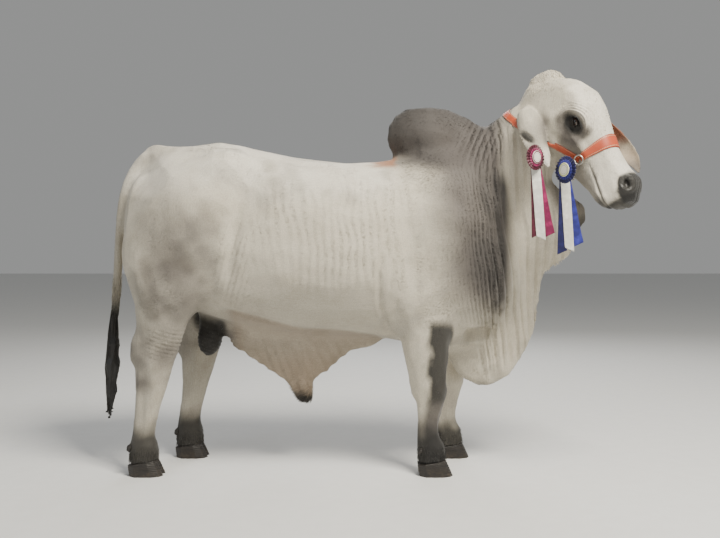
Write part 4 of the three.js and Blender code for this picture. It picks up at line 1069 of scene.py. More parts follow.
@dataclass
class Hide:
    """The skin: one closed surface over head, trunk, legs, ears and tail."""

    body_cell: float = 0.009
    head_cell: float = 0.0045
    coat_depth: float = 0.0025
    budget: int = 176000
    piece: Object = None

    def flesh(self) -> list[str]:
        """The CAD nodes that the skin stands for.

        Returns:
            Their names.
        """
        limbs = [f"{pair}_{side}_{part}" for pair in ("foreleg", "hindleg")
                 for side in ("right", "left") for part in ("upper", "shank")]
        return ["head", "lower_jaw", "neck", "dewlap_throat", "dewlap_brisket", "hump", "chest", "barrel",
                "rump", "sheath", "scrotum", "tail_dock", "tail_shaft", "ear_right", "ear_left", *limbs]

    def build(self) -> Object:
        """Makes the skin from the flesh and models its detail.

        Returns:
            The skin, painted with its markings and painted shade.
        """
        ears = ("ear_right", "ear_left")
        trunk = self._fused([n for n in self.flesh() if n not in ears], "trunk", self.body_cell, 7)
        head = self._fused(["head", "lower_jaw", "neck", "dewlap_throat", "chest", "eye_right",
                            "eye_left", *ears], "face", self.head_cell, 1.2)
        relax(trunk, 34)
        x, _, z = measured(trunk).T
        relax(trunk, 60, ramp(1390, 1440, z) * ramp(600, 500, x))
        self._cut(trunk, keep_head=False)
        self._cut(head, keep_head=True)
        relax(head, 14, self._face_share(head))
        self.piece = self._bridge(trunk, head)
        self._refine()
        self._model()
        lighten(self.piece, self.budget)
        self._paint()
        return self.piece

    def _fused(self, nodes: list[str], name: str, cell: float, swell: float) -> Object:
        """The nodes as one closed surface of small quads.

        Args:
            nodes: The CAD nodes.
            name: What it is called.
            cell: The quads' size in metres.
            swell: How many millimetres the nodes grow before they fuse, which fills narrow clefts.

        Returns:
            The fused object, back at its own size.
        """
        whole = copies(nodes, name)
        edit(whole, lambda: bpy.ops.transform.shrink_fatten(value=swell * MM))
        fuse(whole, cell)
        if swell > 2:
            relax(whole, 6)
            put(whole, places(whole) - normals(whole) * ((swell - 1.2) * MM))
        return whole

    def _cut(self, piece: Object, keep_head: bool) -> None:
        """Cuts a mesh through the neck and keeps one side.

        Args:
            piece: The mesh.
            keep_head: Whether the head's side stays, with the hanging ear and the chin.
        """
        points = measured(piece)
        x, y, z = points.T
        along, _, out = STAND.to_head(points).T
        ear, chin = (y < -262) & (x > 595) & (z > 1290), (along > 440) & (out > -60)
        way = unit(np.array(STAND.neck_way))
        place = tuple(STAND.metres(np.array(STAND.neck_cut) + (4 if keep_head else -4) * way))
        edit_some(piece, ~((ear | chin) & keep_head), lambda: bpy.ops.mesh.bisect(
            plane_co=place, plane_no=tuple(way), clear_inner=keep_head, clear_outer=not keep_head))

    def _mirrored(self, piece: Object) -> Rows:
        """The piece's vertices in the head's frame, all on its left side."""
        local = STAND.to_head(measured(piece))
        return local * (1, 0, 1) + np.abs(local) * (0, 1, 0)

    def _face_share(self, head: Object) -> Rows:
        """How much each vertex of the head is evened out: less at the eyes, nostrils and mouth.

        Args:
            head: The fused head.

        Returns:
            A share for each vertex.
        """
        local = self._mirrored(head)
        eye = bell(np.linalg.norm(local - STAND.eye_at, axis=1), 34)
        nostril = bell(np.linalg.norm(local - (577, 50, 150), axis=1), 30)
        return 1 - 0.75 * np.clip(eye + nostril, 0, 1)

    def _bridge(self, trunk: Object, head: Object) -> Object:
        """Joins trunk and head and closes the ring between them.

        Args:
            trunk: The body, open at the neck.
            head: The head, open there too.

        Returns:
            The whole skin.
        """
        mesh, whole = bpy.ops.mesh, joined("hide", trunk, head)
        edit(whole, lambda: mesh.select_mode(type="EDGE"), lambda: mesh.select_all(action="DESELECT"),
             mesh.select_non_manifold, mesh.bridge_edge_loops, lambda: mesh.select_all(action="SELECT"),
             point_outwards)
        relax(whole, 6, bell(STAND.ahead(measured(whole)), 30))
        return whole

    def _refine(self) -> None:
        """Gives the folded neck and dewlap smaller faces, as the eyes and muzzle need."""
        points = measured(self.piece)
        x, _, z = points.T
        neck = (x > 400) & (STAND.ahead(points) < -6) & ((z < 1480) | (x > 560))
        edit_some(self.piece, neck, lambda: bpy.ops.mesh.subdivide(number_cuts=1))
        local = self._mirrored(self.piece)
        eye = np.linalg.norm(local - STAND.eye_at, axis=1) < 62
        muzzle = (local[:, 0] > 530) & (local[:, 0] < 660) & (STAND.ahead(measured(self.piece)) > 0)
        edit_some(self.piece, eye | muzzle, lambda: bpy.ops.mesh.subdivide(number_cuts=1))
        relax(self.piece, 3, 0.8)

    def _model(self) -> None:
        """Moves the hide along its normals to its muscles, folds, wrinkles and the head's detail."""
        where, facing = places(self.piece), normals(self.piece)
        lift = Relief(STAND.measures(where), facing).lift() - self.coat_depth / MM
        put(self.piece, where + facing * (lift * MM)[:, None])
        relax(self.piece, 1, 0.5)
        self._sockets()

    def _sockets(self) -> None:
        """Shapes the hide round each eyeball, so that it passes under the lids and swells over their edge."""
        local = STAND.to_head(measured(self.piece))
        for side in (-1, 1):
            off = local - STAND.eye(side)
            reach = np.linalg.norm(off, axis=1)
            turn = np.degrees(np.arccos(np.clip((off @ STAND.gaze(side)) / np.maximum(reach, 1e-6), -1, 1)))
            aim = np.interp(turn, (0, 38, 50, 64, 74, 84), (16, 17, 20.4, 23.2, 25.6, 27))
            share = ramp(88, 74, turn) * (reach < 46)
            off = off * (1 + share * (aim / np.maximum(reach, 1e-6) - 1))[:, None]
            near = share > 0
            local[near] = (off + STAND.eye(side))[near]
        put(self.piece, STAND.head_metres(local))

    def _paint(self) -> None:
        """Stores the markings with their painted shade, the moist muzzle and how steeply the hair runs."""
        points = measured(self.piece)
        colours, wet = Brush(points).coat()
        paint(self.piece, "Coat", colours)
        paint(self.piece, "Wet", wet)
        paint(self.piece, "Steep", np.abs(lie_of_hair(points)[:, 2]))
        self.piece.data.polygons.foreach_set("use_smooth", np.ones(len(self.piece.data.polygons), bool))
        self.piece.data.materials.append(HideFinish().material)


def lie_of_hair(points: Rows) -> Rows:
    """Which way the hair lies over the body.

    Args:
        points: Places in the bull's own millimetres.

    Returns:
        A unit direction a row.
    """
    x, y, z = points.T
    flow = np.tile(np.array((-1, 0, -0.3)), (len(points), 1))

    def steer(way: Triple, share: Rows) -> None:
        """Turns the flow towards a way by a share."""
        flow[:] = flow * (1 - share[:, None]) + np.array(way) * share[:, None]

    steer((-0.35, 0, -1), ramp(450, 620, x))
    steer((-0.7, 0, -1), ramp(900, 1150, z) * ramp(-600, -800, x))
    limbs = ramp(760, 600, z) * (ramp(-560, -660, x) + ramp(20, 110, x) * ramp(520, 480, x))
    steer((-0.12, 0, -1), np.clip(limbs, 0, 1))
    steer((-0.05, 0, -1), ramp(-1080, -1110, x) * ramp(1380, 1300, z))
    along, left, out = STAND.to_head(points).T
    here = ramp(-80, -20, along + 0.8 * out) * ramp(560, 620, x)
    nose, sideways, brow = STAND.head_axes()
    down = nose[None] * 0.8 - brow[None] * (0.25 + 0.5 * ramp(90, 130, np.abs(left)))[:, None]
    down = down + sideways[None] * (0.25 * np.sign(left))[:, None]
    return unit(flow * (1 - here[:, None]) + down * here[:, None])


class EyeFinish(Shader):
    """A wet eye: a level pupil in a deep brown iris, and a dark white of the eye."""

    rough: float = 0.06

    def __init__(self) -> None:
        """Dresses the eyeball."""
        super().__init__("wet_eye")
        away = self.mask("Away")
        level = self.mask("Level")
        veins = self.noise(380, 5, 0.7)
        white = self.mix(veins.step(0.45, 0.7) * 0.6, (0.2, 0.15, 0.115), (0.13, 0.035, 0.02))
        iris = self.mix(veins.step(0.35, 0.65), (0.03, 0.013, 0.006), (0.062, 0.028, 0.012))
        tint = self.mix(away.step(0.74, 0.83), iris, white)
        tint = self.mix(away.step(0.64, 0.76) * (1 - away.step(0.78, 0.84)), tint, (0.006, 0.004, 0.003))
        tint = self.mix(level.step(0.92, 1), (0.002, 0.002, 0.002), tint)
        self.surface(Base_Color=tint, Roughness=self.rough, Coat_Weight=1, Coat_Roughness=0.03,
                     Normal=self.bump(veins, 0.00008, 0.4))


class LidFinish(Shader):
    """The bare black skin of the lids, finely wrinkled."""

    fold: float = 0.0004

    def __init__(self) -> None:
        """Dresses the lids."""
        super().__init__("lid_skin")
        creases = self.noise(420, 5, 0.6, (1, 1, 2.6))
        tint = self.mix(creases.step(0.35, 0.7), (0.009, 0.008, 0.0075), (0.024, 0.02, 0.018))
        self.surface(Base_Color=tint, Roughness=0.4 + creases * 0.18,
                     Normal=self.bump(creases, self.fold, 0.8), Specular_IOR_Level=0.5)


@dataclass
class Eyes:
    """Both eyeballs with their bulging corneas, and the lids with their lashes."""

    radius: float = 20
    bulge: float = 1.7
    lid_thick: float = 2.8
    upper: Pair = (15, 84)
    lower: Pair = (-86, -22)
    lashes: int = 34
    balls: list[Object] = field(default_factory=list)
    lids: Object = None

    def build(self) -> None:
        """Makes the eyeballs and the lids."""
        wet, made = EyeFinish().material, []
        for node, side in (("eye_right", -1), ("eye_left", 1)):
            ball = self._ball(f"{node}_ball", side)
            ball.data.materials.append(wet)
            self.balls.append(ball)
            made += [self._lid(side, *self.upper), self._lid(side, *self.lower), self._lashes(side)]
        self.lids = joined("eyelids", *made)
        self.lids.data.materials.append(LidFinish().material)

    def _place(self, local: Rows, side: float) -> Rows:
        """Places along the eye's own axes as the bull's own measures.

        Args:
            local: Rows of: along the opening towards the nose, upwards across it, and along the gaze.
            side: -1 for the right, 1 for the left.

        Returns:
            Rows in the bull's own millimetres.
        """
        gaze = STAND.gaze(side)
        along = np.array([0.85, 0, -0.3])
        along = unit(along - gaze * (along @ gaze))
        axes = np.array([along, np.cross(gaze, along) * side, gaze])
        return STAND.from_head(local @ axes + STAND.eye(side))

    def _ball(self, name: str, side: float) -> Object:
        """One eyeball, painted with how far each place is from the pupil.

        Args:
            name: What it is called.
            side: -1 for the right, 1 for the left.

        Returns:
            The eyeball.
        """
        ball = primitive(name, bpy.ops.mesh.primitive_uv_sphere_add, segments=64, ring_count=40,
                         radius=self.radius)
        local = places(ball)
        turn = unit(local)
        local = local + turn * (self.bulge * ramp(0.78, 0.97, turn[:, 2]))[:, None]
        put(ball, STAND.metres(self._place(local, side)))
        behind = np.where(turn[:, 2] < 0, 9, 0)
        paint(ball, "Away", np.hypot(turn[:, 0], turn[:, 1]) + behind)
        paint(ball, "Level", np.hypot(turn[:, 0] / 0.4, turn[:, 1] / 0.2) + behind)
        outward(ball)
        return ball

    def _lid(self, side: float, low: float, high: float) -> Object:
        """One lid: a slice of a shell whose poles are the corners of the eye.

        Args:
            side: -1 for the right, 1 for the left.
            low: The slice's lower edge, in degrees above the gaze.
            high: Its upper edge.

        Returns:
            The lid, with its thickness and a rounded rim.
        """
        lid, u, v = patch("lid", 40, 14)
        pole = np.radians(12 + 156 * u)
        turn = low + (high - low) * v
        rim = bell(np.minimum(np.abs(turn - self.upper[0]), np.abs(turn - self.lower[1])), 9)
        turn = np.radians(turn)
        local = np.stack([-np.cos(pole), np.sin(pole) * np.sin(turn), np.sin(pole) * np.cos(turn)], 1)
        shell = self.radius + 0.8 + self.bulge * rim + 1.1 * rim * np.sin(math.pi * u)
        put(lid, STAND.metres(self._place(local * shell[:, None], side)))
        outward(lid, STAND.metres(self._place(np.zeros((1, 3)), side))[0])
        finish_with(lid, "SOLIDIFY", thickness=self.lid_thick * MM, offset=1)
        finish_with(lid, "BEVEL", width=1.1 * MM, segments=2, limit_method="ANGLE")
        outward(lid)
        return lid

    def _lashes(self, side: float) -> Object:
        """The stiff lashes of the upper lid.

        Args:
            side: -1 for the right, 1 for the left.

        Returns:
            The lashes, all in one object.
        """
        draw = np.random.default_rng(71)
        pole = np.radians(12 + 156 * np.linspace(0.16, 0.84, self.lashes))
        turn = math.radians(self.upper[0] + 4)
        out = np.stack([-np.cos(pole), np.sin(pole) * math.sin(turn), np.sin(pole) * math.cos(turn)], 1)
        droop = np.stack([-0.2 * np.cos(pole), np.full(len(pole), -0.62), np.full(len(pole), 0.75)], 1)
        long = draw.uniform(10, 15, self.lashes)[:, None]
        start = out * (self.radius + 2.4)
        middle = start + unit(droop) * long * 0.55
        spine = np.stack([start, middle, middle + unit(droop + (0, 0.5, 0)) * long * 0.5], 1)
        rows = self._place(spine.reshape(-1, 3), side).reshape(spine.shape)
        wide = np.full(self.lashes, 0.65)
        return strands("lashes", rows, np.tile((0, 0, 1), (self.lashes, 1)), wide, 1)


class HornFinish(Shader):
    """Dark hoof horn: growth rings, fine upright grain, and dust near the floor."""

    ring: float = 0.0006

    def __init__(self) -> None:
        """Dresses the hooves."""
        super().__init__("hoof_horn")
        grain = self.noise(1, 4, 0.6, (420, 420, 26))
        rings = self.noise(1, 3, 0.6, (5, 5, 170))
        dust = self.noise(55, 5, 0.65)
        height = Value(self, self.node("ShaderNodeSeparateXYZ", {}, {0: self.place()}).outputs[2])
        low = 1 - height.step(0.004, 0.05)
        tint = self.mix(rings.step(0.3, 0.7), (0.008, 0.0068, 0.006), (0.021, 0.017, 0.014))
        tint = self.mix(grain.step(0.45, 0.8) * 0.35, tint, (0.042, 0.034, 0.028))
        tint = self.mix(low * dust.step(0.4, 0.72) * 0.3, tint, (0.12, 0.09, 0.06))
        normal = self.bump(grain, 0.0002, 0.6, Normal=self.bump(rings, self.ring, 0.8))
        self.surface(Base_Color=tint, Roughness=0.42 + dust * 0.25, Normal=normal)


@dataclass
class Hooves:
    """The cloven hooves and the dewclaws, with their growth rings."""

    cell: float = 0.0032
    ring_every: float = 9.5
    budget: int = 44000
    piece: Object = None

    def nodes(self) -> list[str]:
        """The CAD nodes that the hooves stand for."""
        return [f"{kind}_{pair}_{side}_{where}" for kind in ("hoof", "dewclaw") for pair in
                ("foreleg", "hindleg") for side in ("right", "left") for where in ("outer", "inner")]

    def build(self) -> None:
        """Makes all the hooves from their solids."""
        made = []
        for node in self.nodes():
            claw = copies([node], node)
            fuse(claw, self.cell)
            relax(claw, 9)
            self._shape(claw, node.startswith("hoof"))
            made.append(claw)
        self.piece = joined("hooves", *made)
        lighten(self.piece, self.budget)
        outward(self.piece)
        self.piece.data.materials.append(HornFinish().material)

    def _shape(self, claw: Object, hoof: bool) -> None:
        """Adds growth rings; a hoof gets its worn toe and stands flat on the floor.

        Args:
            claw: A hoof or a dewclaw.
            hoof: Whether it is a hoof.
        """
        where, facing = places(claw), normals(claw)
        x, _, z = (where / MM).T
        walls = ramp(0.9, 0.5, np.abs(facing[:, 2]))
        slope = z + 0.25 * (x - x.min()) + 1.6 * drift(where / MM, 60, 51)
        lift = 0.75 * wave(slope, self.ring_every) * walls - 1.3 * bell(z - z.max() + 9, 4) * walls
        where = where + facing * (lift * MM)[:, None]
        if hoof:
            where[:, 2] -= where[:, 2].min()
            where[(where[:, 2] < 2.4 * MM) & (x > x.min()), 2] = 0
        put(claw, where)


class SwitchFinish(Shader):
    """Long black tail hair, glossy along the strand."""

    rough: float = 0.42

    def __init__(self) -> None:
        """Dresses the switch."""
        super().__init__("tail_hair")
        each = self.mask("Each")
        streak = self.noise(1, 3, stretch=(620, 620, 24))
        tint = self.mix(each, (0.007, 0.0065, 0.006), (0.03, 0.025, 0.021))
        tint = self.mix(streak.step(0.55, 0.8) * 0.5, tint, (0.06, 0.048, 0.038))
        self.surface(Base_Color=tint, Roughness=self.rough + streak * 0.2,
                     Normal=self.bump(streak, 0.0003, 0.7), Sheen_Weight=0.05)


@dataclass
class Switch:
    """The tail's switch: wavy black locks round a core, out to uneven tips."""

    locks: int = 560
    steps: int = 16
    top: float = 712
    tip: float = 226
    piece: Object = None

    def build(self) -> None:
        """Makes the core and the locks."""
        core = copies(["tail_switch"], "switch_core")
        fuse(core, 0.005)
        relax(core, 14)
        put(core, places(core) - normals(core) * 0.008)
        for name in ("Each", "Tip"):
            paint(core, name, np.zeros(len(core.data.vertices)))
        self.piece = joined("switch", self._hair(), core)
        self.piece.data.materials.append(SwitchFinish().material)

    def _hair(self) -> Object:
        """Makes all the locks, each painted lighter or darker as a whole.

        Returns:
            The locks, all in one object.
        """
        draw = np.random.default_rng(81)
        count = self.locks
        start = draw.uniform(self.top - 150, self.top, count)
        start[: count // 3] = draw.uniform(self.top - 24, self.top, count // 3)
        end = self.tip + 250 * draw.uniform(0, 1, count) ** 1.7
        end = np.minimum(end, start - 130)
        angle = draw.uniform(0, math.tau, count)
        t = np.linspace(0, 1, self.steps)[None]
        z = start[:, None] + (end - start)[:, None] * t
        middle = sum(STAND.measures(np.array([end]))[0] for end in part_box("tail_switch")) / 2
        x = np.interp(z, (self.tip, 470, self.top), (-1206, -1192, -1178))
        spread = np.interp(z, (self.tip, 300, 440, 600, self.top), (5, 13, 25, 21, 12))
        spread = spread * draw.uniform(0.5, 1.1, count)[:, None]
        curl = draw.uniform(1, 3.6, count)[:, None] * np.sin(
            z / draw.uniform(17, 34, count)[:, None] + draw.uniform(0, 6.28, count)[:, None]) * t
        turn = angle[:, None] + 0.5 * np.sin(z / 120 + angle[:, None])
        y = middle[1] + (spread - curl) * np.sin(turn)
        spines = np.stack([x + (spread + curl) * np.cos(turn), y, z], 2)
        across = np.stack([-np.sin(angle), np.cos(angle), np.zeros(count)], 1)
        taper = np.interp(np.linspace(0, 1, self.steps), (0, 0.3, 0.8, 1), (0.6, 1, 0.7, 0.2))
        hair = strands("switch_hair", spines, across, draw.uniform(1.3, 2.6, count), 0.7, taper)
        paint(hair, "Each", np.repeat(draw.uniform(0, 1, count), 3 * (self.steps - 1) + 1))
        return hair


class LeatherFinish(Shader):
    """Orange-red strap leather: pebbled grain, burnished edges, stitch rows and rubbed spots."""

    body: Triple = (0.46, 0.075, 0.028)
    edge: Triple = (0.16, 0.03, 0.014)

    def __init__(self) -> None:
        """Dresses the straps by how far along and across them a place lies."""
        super().__init__("strap_leather")
        along, across = self.mask("Along"), self.mask("Across")
        pebble = self.cells("SMOOTH_F1", 620, Smoothness=0.6)
        rub = self.noise(34, 5, 0.65)
        rim = (across * across).step(0.74, 0.98)
        row = (across * across).step(0.46, 0.52) * (1 - (across * across).step(0.6, 0.66))
        stitch = along.pingpong(0.0035).step(0.0008, 0.0016)
        thread = row * stitch
        tint = self.mix(rub.step(0.4, 0.75) * 0.5, self.body, (0.3, 0.04, 0.016))
        tint = self.mix(rim * 0.9, tint, self.edge)
        tint = self.mix(rub.step(0.66, 0.8) * (1 - rim) * 0.35, tint, (0.6, 0.21, 0.11))
        tint = self.mix(row * 0.5, tint, self.edge)
        tint = self.mix(thread, tint, (0.62, 0.4, 0.24))
        height = thread * 0.8 - row * 0.5 - pebble * 0.25
        self.surface(Base_Color=tint, Roughness=0.36 + rub * 0.22 + rim * 0.1,
                     Normal=self.bump(height, 0.0007, 0.85), Coat_Weight=0.18, Coat_Roughness=0.25)


class SteelFinish(Shader):
    """Worn plated steel: fine scratches and duller, browner worn patches."""

    rough: float = 0.26

    def __init__(self) -> None:
        """Dresses the rings and the chain."""
        super().__init__("plated_steel")
        wear = self.noise(160, 5, 0.65)
        scratch = self.noise(1, 3, 0.6, (1500, 90, 300))
        tint = self.mix(wear.step(0.5, 0.72) * 0.75, (0.62, 0.6, 0.56), (0.2, 0.165, 0.13))
        self.surface(Base_Color=tint, Metallic=1 - wear.step(0.62, 0.82) * 0.35,
                     Roughness=self.rough + wear * 0.25 + scratch * 0.08,
                     Normal=self.bump(scratch, 0.00008, 0.5))


@dataclass
class Halter:
    """The show halter: noseband, cheek straps, crown strap and rings."""

    thick: float = 4.6
    hide: Object = None
    noseband: Object = None
    cheeks: list[Object] = field(default_factory=list)
    crown: Object = None
    rings: list[Object] = field(default_factory=list)
    surface: BVHTree = None

    def build(self) -> None:
        """Lays every strap over the hide and adds the rings."""
        self._feel()
        leather, steel = LeatherFinish().material, SteelFinish().material
        self.noseband = self._noseband()
        self.cheeks = [self._cheek("cheek_strap_right", -1), self._cheek("cheek_strap_left", 1)]
        self.crown = self._crown()
        for strap in (self.noseband, *self.cheeks, self.crown):
            strap.data.materials.append(leather)
        for name, side in (("ring_right", -1), ("ring_left", 1)):
            ring = self._ring(name, side)
            ring.data.materials.append(steel)
            self.rings.append(ring)

    def _feel(self) -> None:
        """Keeps the hide without its ears, as the surface that the straps lie on."""
        ears = copies(["ear_right", "ear_left"], "ears")
        near = BVHTree.FromObject(ears, bpy.context.evaluated_depsgraph_get())
        bpy.data.objects.remove(ears)
        mesh, faces = self.hide.data, []
        for face in mesh.polygons:
            middle = face.center
            if middle.x >= 0.55 and middle.z >= 1 and near.find_nearest(middle, 0.009)[0] is None:
                faces.append(tuple(face.vertices))
        self.surface = BVHTree.FromPolygons([tuple(spot) for spot in places(self.hide)], faces)

    def surface_of(self) -> BVHTree:
        """Gathers the straps and rings as one surface that the coat keeps clear of.

        Returns:
            A tree of their faces.
        """
        spots, faces = [], []
        for piece in (self.noseband, *self.cheeks, self.crown, *self.rings):
            base = len(spots)
            spots += [tuple(spot) for spot in places(piece)]
            faces += [tuple(k + base for k in face.vertices) for face in piece.data.polygons]
        return BVHTree.FromPolygons(spots, faces)

    def _meet(self, start: Rows, way: Rows) -> Rows:
        """Where lines in the head's frame first meet the hide.

        Args:
            start: A row for each line.
            way: Its direction, a row each.

        Returns:
            The places in the head's frame; a line that misses takes the place of its neighbour.
        """
        axes = STAND.head_axes()
        begin, run = STAND.head_metres(start), unit(way) @ axes
        found = np.full(start.shape, np.nan)
        for k, (origin, direction) in enumerate(zip(begin, run)):
            hit = self.surface.ray_cast(Vector(origin), Vector(direction))
            if hit[0] is not None:
                found[k] = STAND.to_head(STAND.measures(np.array([hit[0]])))[0]
        good = np.flatnonzero(~np.isnan(found[:, 0]))
        for k in np.flatnonzero(np.isnan(found[:, 0])):
            found[k] = found[good[np.argmin(np.abs(good - k))]]
        return found

    def _strap(self, name: str, lines: list[Rows], middle: Rows) -> Object:
        """One strap over the lines that it follows.

        Args:
            name: What it is called.
            lines: For each line across the width, its places in the head's frame.
            middle: A place inside the head that the strap faces away from.

        Returns:
            The strap with rounded edges, painted with how far along and across each place is.
        """
        grid = np.stack(lines, 1)
        for _ in range(10):
            grid[1:-1] = 0.5 * grid[1:-1] + 0.25 * (grid[2:] + grid[:-2])
        count, wide = grid.shape[:2]
        strap, u, v = patch(name, count - 1, wide - 1)
        row = np.rint(u * (count - 1)).astype(int)
        column = np.rint(v * (wide - 1)).astype(int)
        put(strap, STAND.head_metres(grid[row, column]))
        steps = np.linalg.norm(np.diff(grid[:, wide // 2], axis=0), axis=1)
        along = np.concatenate([[0], np.cumsum(steps)]) * MM
        paint(strap, "Along", along[row])
        paint(strap, "Across", 2 * v - 1)
        outward(strap, STAND.head_metres(middle[None])[0])
        crown = 0.9 * (1 - (2 * v - 1) ** 2)
        put(strap, places(strap) + normals(strap) * ((crown - 0.4) * MM)[:, None])
        finish_with(strap, "SOLIDIFY", thickness=self.thick * MM, offset=1)
        finish_with(strap, "BEVEL", width=1.5 * MM, segments=3, limit_method="ANGLE")
        outward(strap)
        return strap

    def _noseband(self) -> Object:
        """The broad band over the nose, narrower at the rings.

        Returns:
            The strap.
        """
        angle = np.radians(np.linspace(-92, 92, 93))
        lines = []
        for share in np.linspace(0, 1, 9):
            x = np.full(len(angle), 381)
            for _ in range(2):
                way = np.stack([np.zeros(len(angle)), np.sin(angle), np.cos(angle)], 1)
                start = np.stack([x, np.zeros(len(angle)), np.full(len(angle), 44)], 1) + way * 320
                met = self._meet(start, -way)
                low = 352 + (165 - met[:, 2]) * 0.1736 + 1
                high = 410 + (met[:, 2] - 165) * 0.07 - 1
                x = low + (high - low) * share
            lines.append(met)
        return self._strap("noseband", lines, np.array([381, 0, 60]))

    def _cheek(self, name: str, side: float) -> Object:
        """One cheek strap, from behind the ear to the ring.

        Args:
            name: What it is called.
            side: -1 for the right, 1 for the left.

        Returns:
            The strap.
        """
        reach = np.linspace(0, 1, 61)
        way = np.array([math.cos(0.49), math.sin(0.49)])
        lines = []
        for share in np.linspace(-1, 1, 7):
            x = 100 + (386 - 100) * reach
            z = 30 + (x - 378) * way[1] / way[0]
            x, z = x - share * 12.5 * way[1], z + share * 12.5 * way[0]
            start = np.stack([x, np.full(len(x), side * 320), z], 1)
            lines.append(self._meet(start, np.tile((0, -side, 0), (len(x), 1))))
        return self._strap(name, lines, np.array([250, 0, -30]))

    def _crown(self) -> Object:
        """The strap over the crest behind the ears.

        Returns:
            The strap.
        """
        angle = np.radians(np.linspace(-90, 90, 121))
        way = np.array([math.cos(0.45), math.sin(0.45)])
        lines = []
        for share in np.linspace(-1, 1, 7):
            x, z = 99 - share * 14.5 * way[1], -112 + share * 14.5 * way[0]
            run = np.stack([-np.cos(angle) * way[0], np.sin(angle), -np.cos(angle) * way[1]], 1)
            start = np.array([x, 0, z]) + run * 420
            lines.append(self._meet(start, -run))
        return self._strap("crown_strap", lines, np.array([60, 0, -132]))

    def _ring(self, name: str, side: float) -> Object:
        """One welded ring.

        Args:
            name: What it is called.
            side: -1 for the right, 1 for the left.

        Returns:
            The ring.
        """
        ring = primitive(name, bpy.ops.mesh.primitive_torus_add, major_segments=48, minor_segments=12,
                         major_radius=19, minor_radius=2.9)
        u, out, w = places(ring).T
        turn = -0.12 * side
        x = u * math.cos(turn) - w * math.sin(turn) + 390
        y = u * math.sin(turn) + w * math.cos(turn) + side * 89
        put(ring, STAND.head_metres(np.stack([x, y, out + 36], 1)))
        outward(ring)
        return ring


@dataclass
class ChinChain:
    """The chain under the chin, link in link."""

    links: int = 17
    wire: float = 2.5
    route: tuple[Triple, ...] = (
        (388, -92, 20), (392, -86, -26), (398, -60, -70), (400, 0, -88),
        (398, 60, -70), (392, 86, -26), (388, 92, 20))
    piece: Object = None

    def build(self) -> None:
        """Makes the links along the chain's route."""
        path = self._path(400)
        reach = np.concatenate([[0], np.cumsum(np.linalg.norm(np.diff(path, axis=0), axis=1))])
        pitch = reach[-1] / self.links
        made = []
        for k in range(self.links):
            at, ahead = (np.array([np.interp((k + 0.5 + off) * pitch, reach, column) for column in path.T])
                         for off in (0, 0.3))
            t = unit((ahead - at)[None])[0]
            across = unit(np.cross(t, (1, 0, 0))[None])[0]
            flat = np.cross(t, across)
            first, second = (across, flat) if k % 2 else (flat, -across)
            made.append(self._link(at, np.array([t, first, second]), pitch))
        self.piece = joined("chin_chain_links", *made)
        outward(self.piece)
        self.piece.data.materials.append(bpy.data.materials["plated_steel"])

    def _path(self, steps: int) -> Rows:
        """The route as a smooth curve, in the head's frame.

        Args:
            steps: How many places it has.

        Returns:
            The places, a row each.
        """
        knots = np.array(self.route)
        ends = np.concatenate([[2 * knots[0] - knots[1]], knots, [2 * knots[-1] - knots[-2]]])
        spans = len(knots) - 1
        t = np.linspace(0, spans - 1e-6, steps)
        k = t.astype(int)
        f = (t - k)[:, None]
        a, b, c, d = (ends[k + i] for i in range(4))
        return 0.5 * (2 * b + (c - a) * f + (2 * a - 5 * b + 4 * c - d) * f ** 2
                      + (3 * b - a - 3 * c + d) * f ** 3)

    def _link(self, at: Rows, axes: Rows, pitch: float) -> Object:
        """One oval link.

        Args:
            at: Its middle in the head's frame.
            axes: Rows: its long way, its width and its thickness.
            pitch: How far the links lie apart.

        Returns:
            The link.
        """
        link = primitive("link", bpy.ops.mesh.primitive_torus_add, major_segments=20, minor_segments=8,
                         major_radius=7.2, minor_radius=self.wire)
        local = places(link)
        reach = pitch / 2 + self.wire * 0.9 - 7.2 - self.wire * 0.5
        local[:, 0] += np.sign(local[:, 0]) * reach * ramp(0, 3, np.abs(local[:, 0]))
        put(link, STAND.head_metres(local @ axes + at))
        return link


class Satin(Enum):
    """The ribbon colours, linear red, green and blue."""

    BURGUNDY = (0.1, 0.008, 0.026)
    MAGENTA = (0.3, 0.012, 0.095)
    WHITE = (0.74, 0.72, 0.66)
    NAVY = (0.012, 0.012, 0.105)
    BLUE = (0.03, 0.034, 0.3)
    LIME = (0.46, 0.5, 0.16)


class SatinFinish(Shader):
    """Satin ribbon: fine cross ribs, soft creases with painted shade and painted highlight, a woven edge and
    a silky sheen.
    """

    rough: float = 0.34

    def __init__(self, shade: Satin) -> None:
        """Dresses a ribbon by how far along and across it a place lies.

        Args:
            shade: The ribbon's colour.
        """
        super().__init__(f"satin_{shade.name.lower()}")
        along, across = self.mask("Along"), self.mask("Across")
        rib = along.pingpong(0.0006) * 1600
        edge = (across * across).step(0.82, 0.9)
        crease = self.noise(42, 4, 0.55)
        body = shade.value
        # Darker and paler copies of the ribbon's colour: painted shade in the creases' hollows and painted
        # highlight on their crests.
        deep = tuple((0.8 if shade is Satin.WHITE else 0.5) * part for part in body)
        pale = tuple(min(1, 1.45 * part + 0.015) for part in body)
        tint = self.mix(crease.step(0.35, 0.7), deep, body)
        tint = self.mix(crease.step(0.55, 0.8) * 0.5, tint, pale)
        tint = self.mix(edge * 0.6, tint, deep)
        height = rib * (1 - edge) * 0.3 + edge * 0.5 + crease * 0.6
        self.surface(Base_Color=tint, Roughness=self.rough + crease * 0.16 + edge * 0.1,
                     Normal=self.bump(height, 0.0006, 0.6), Sheen_Weight=0.25, Sheen_Roughness=0.35)


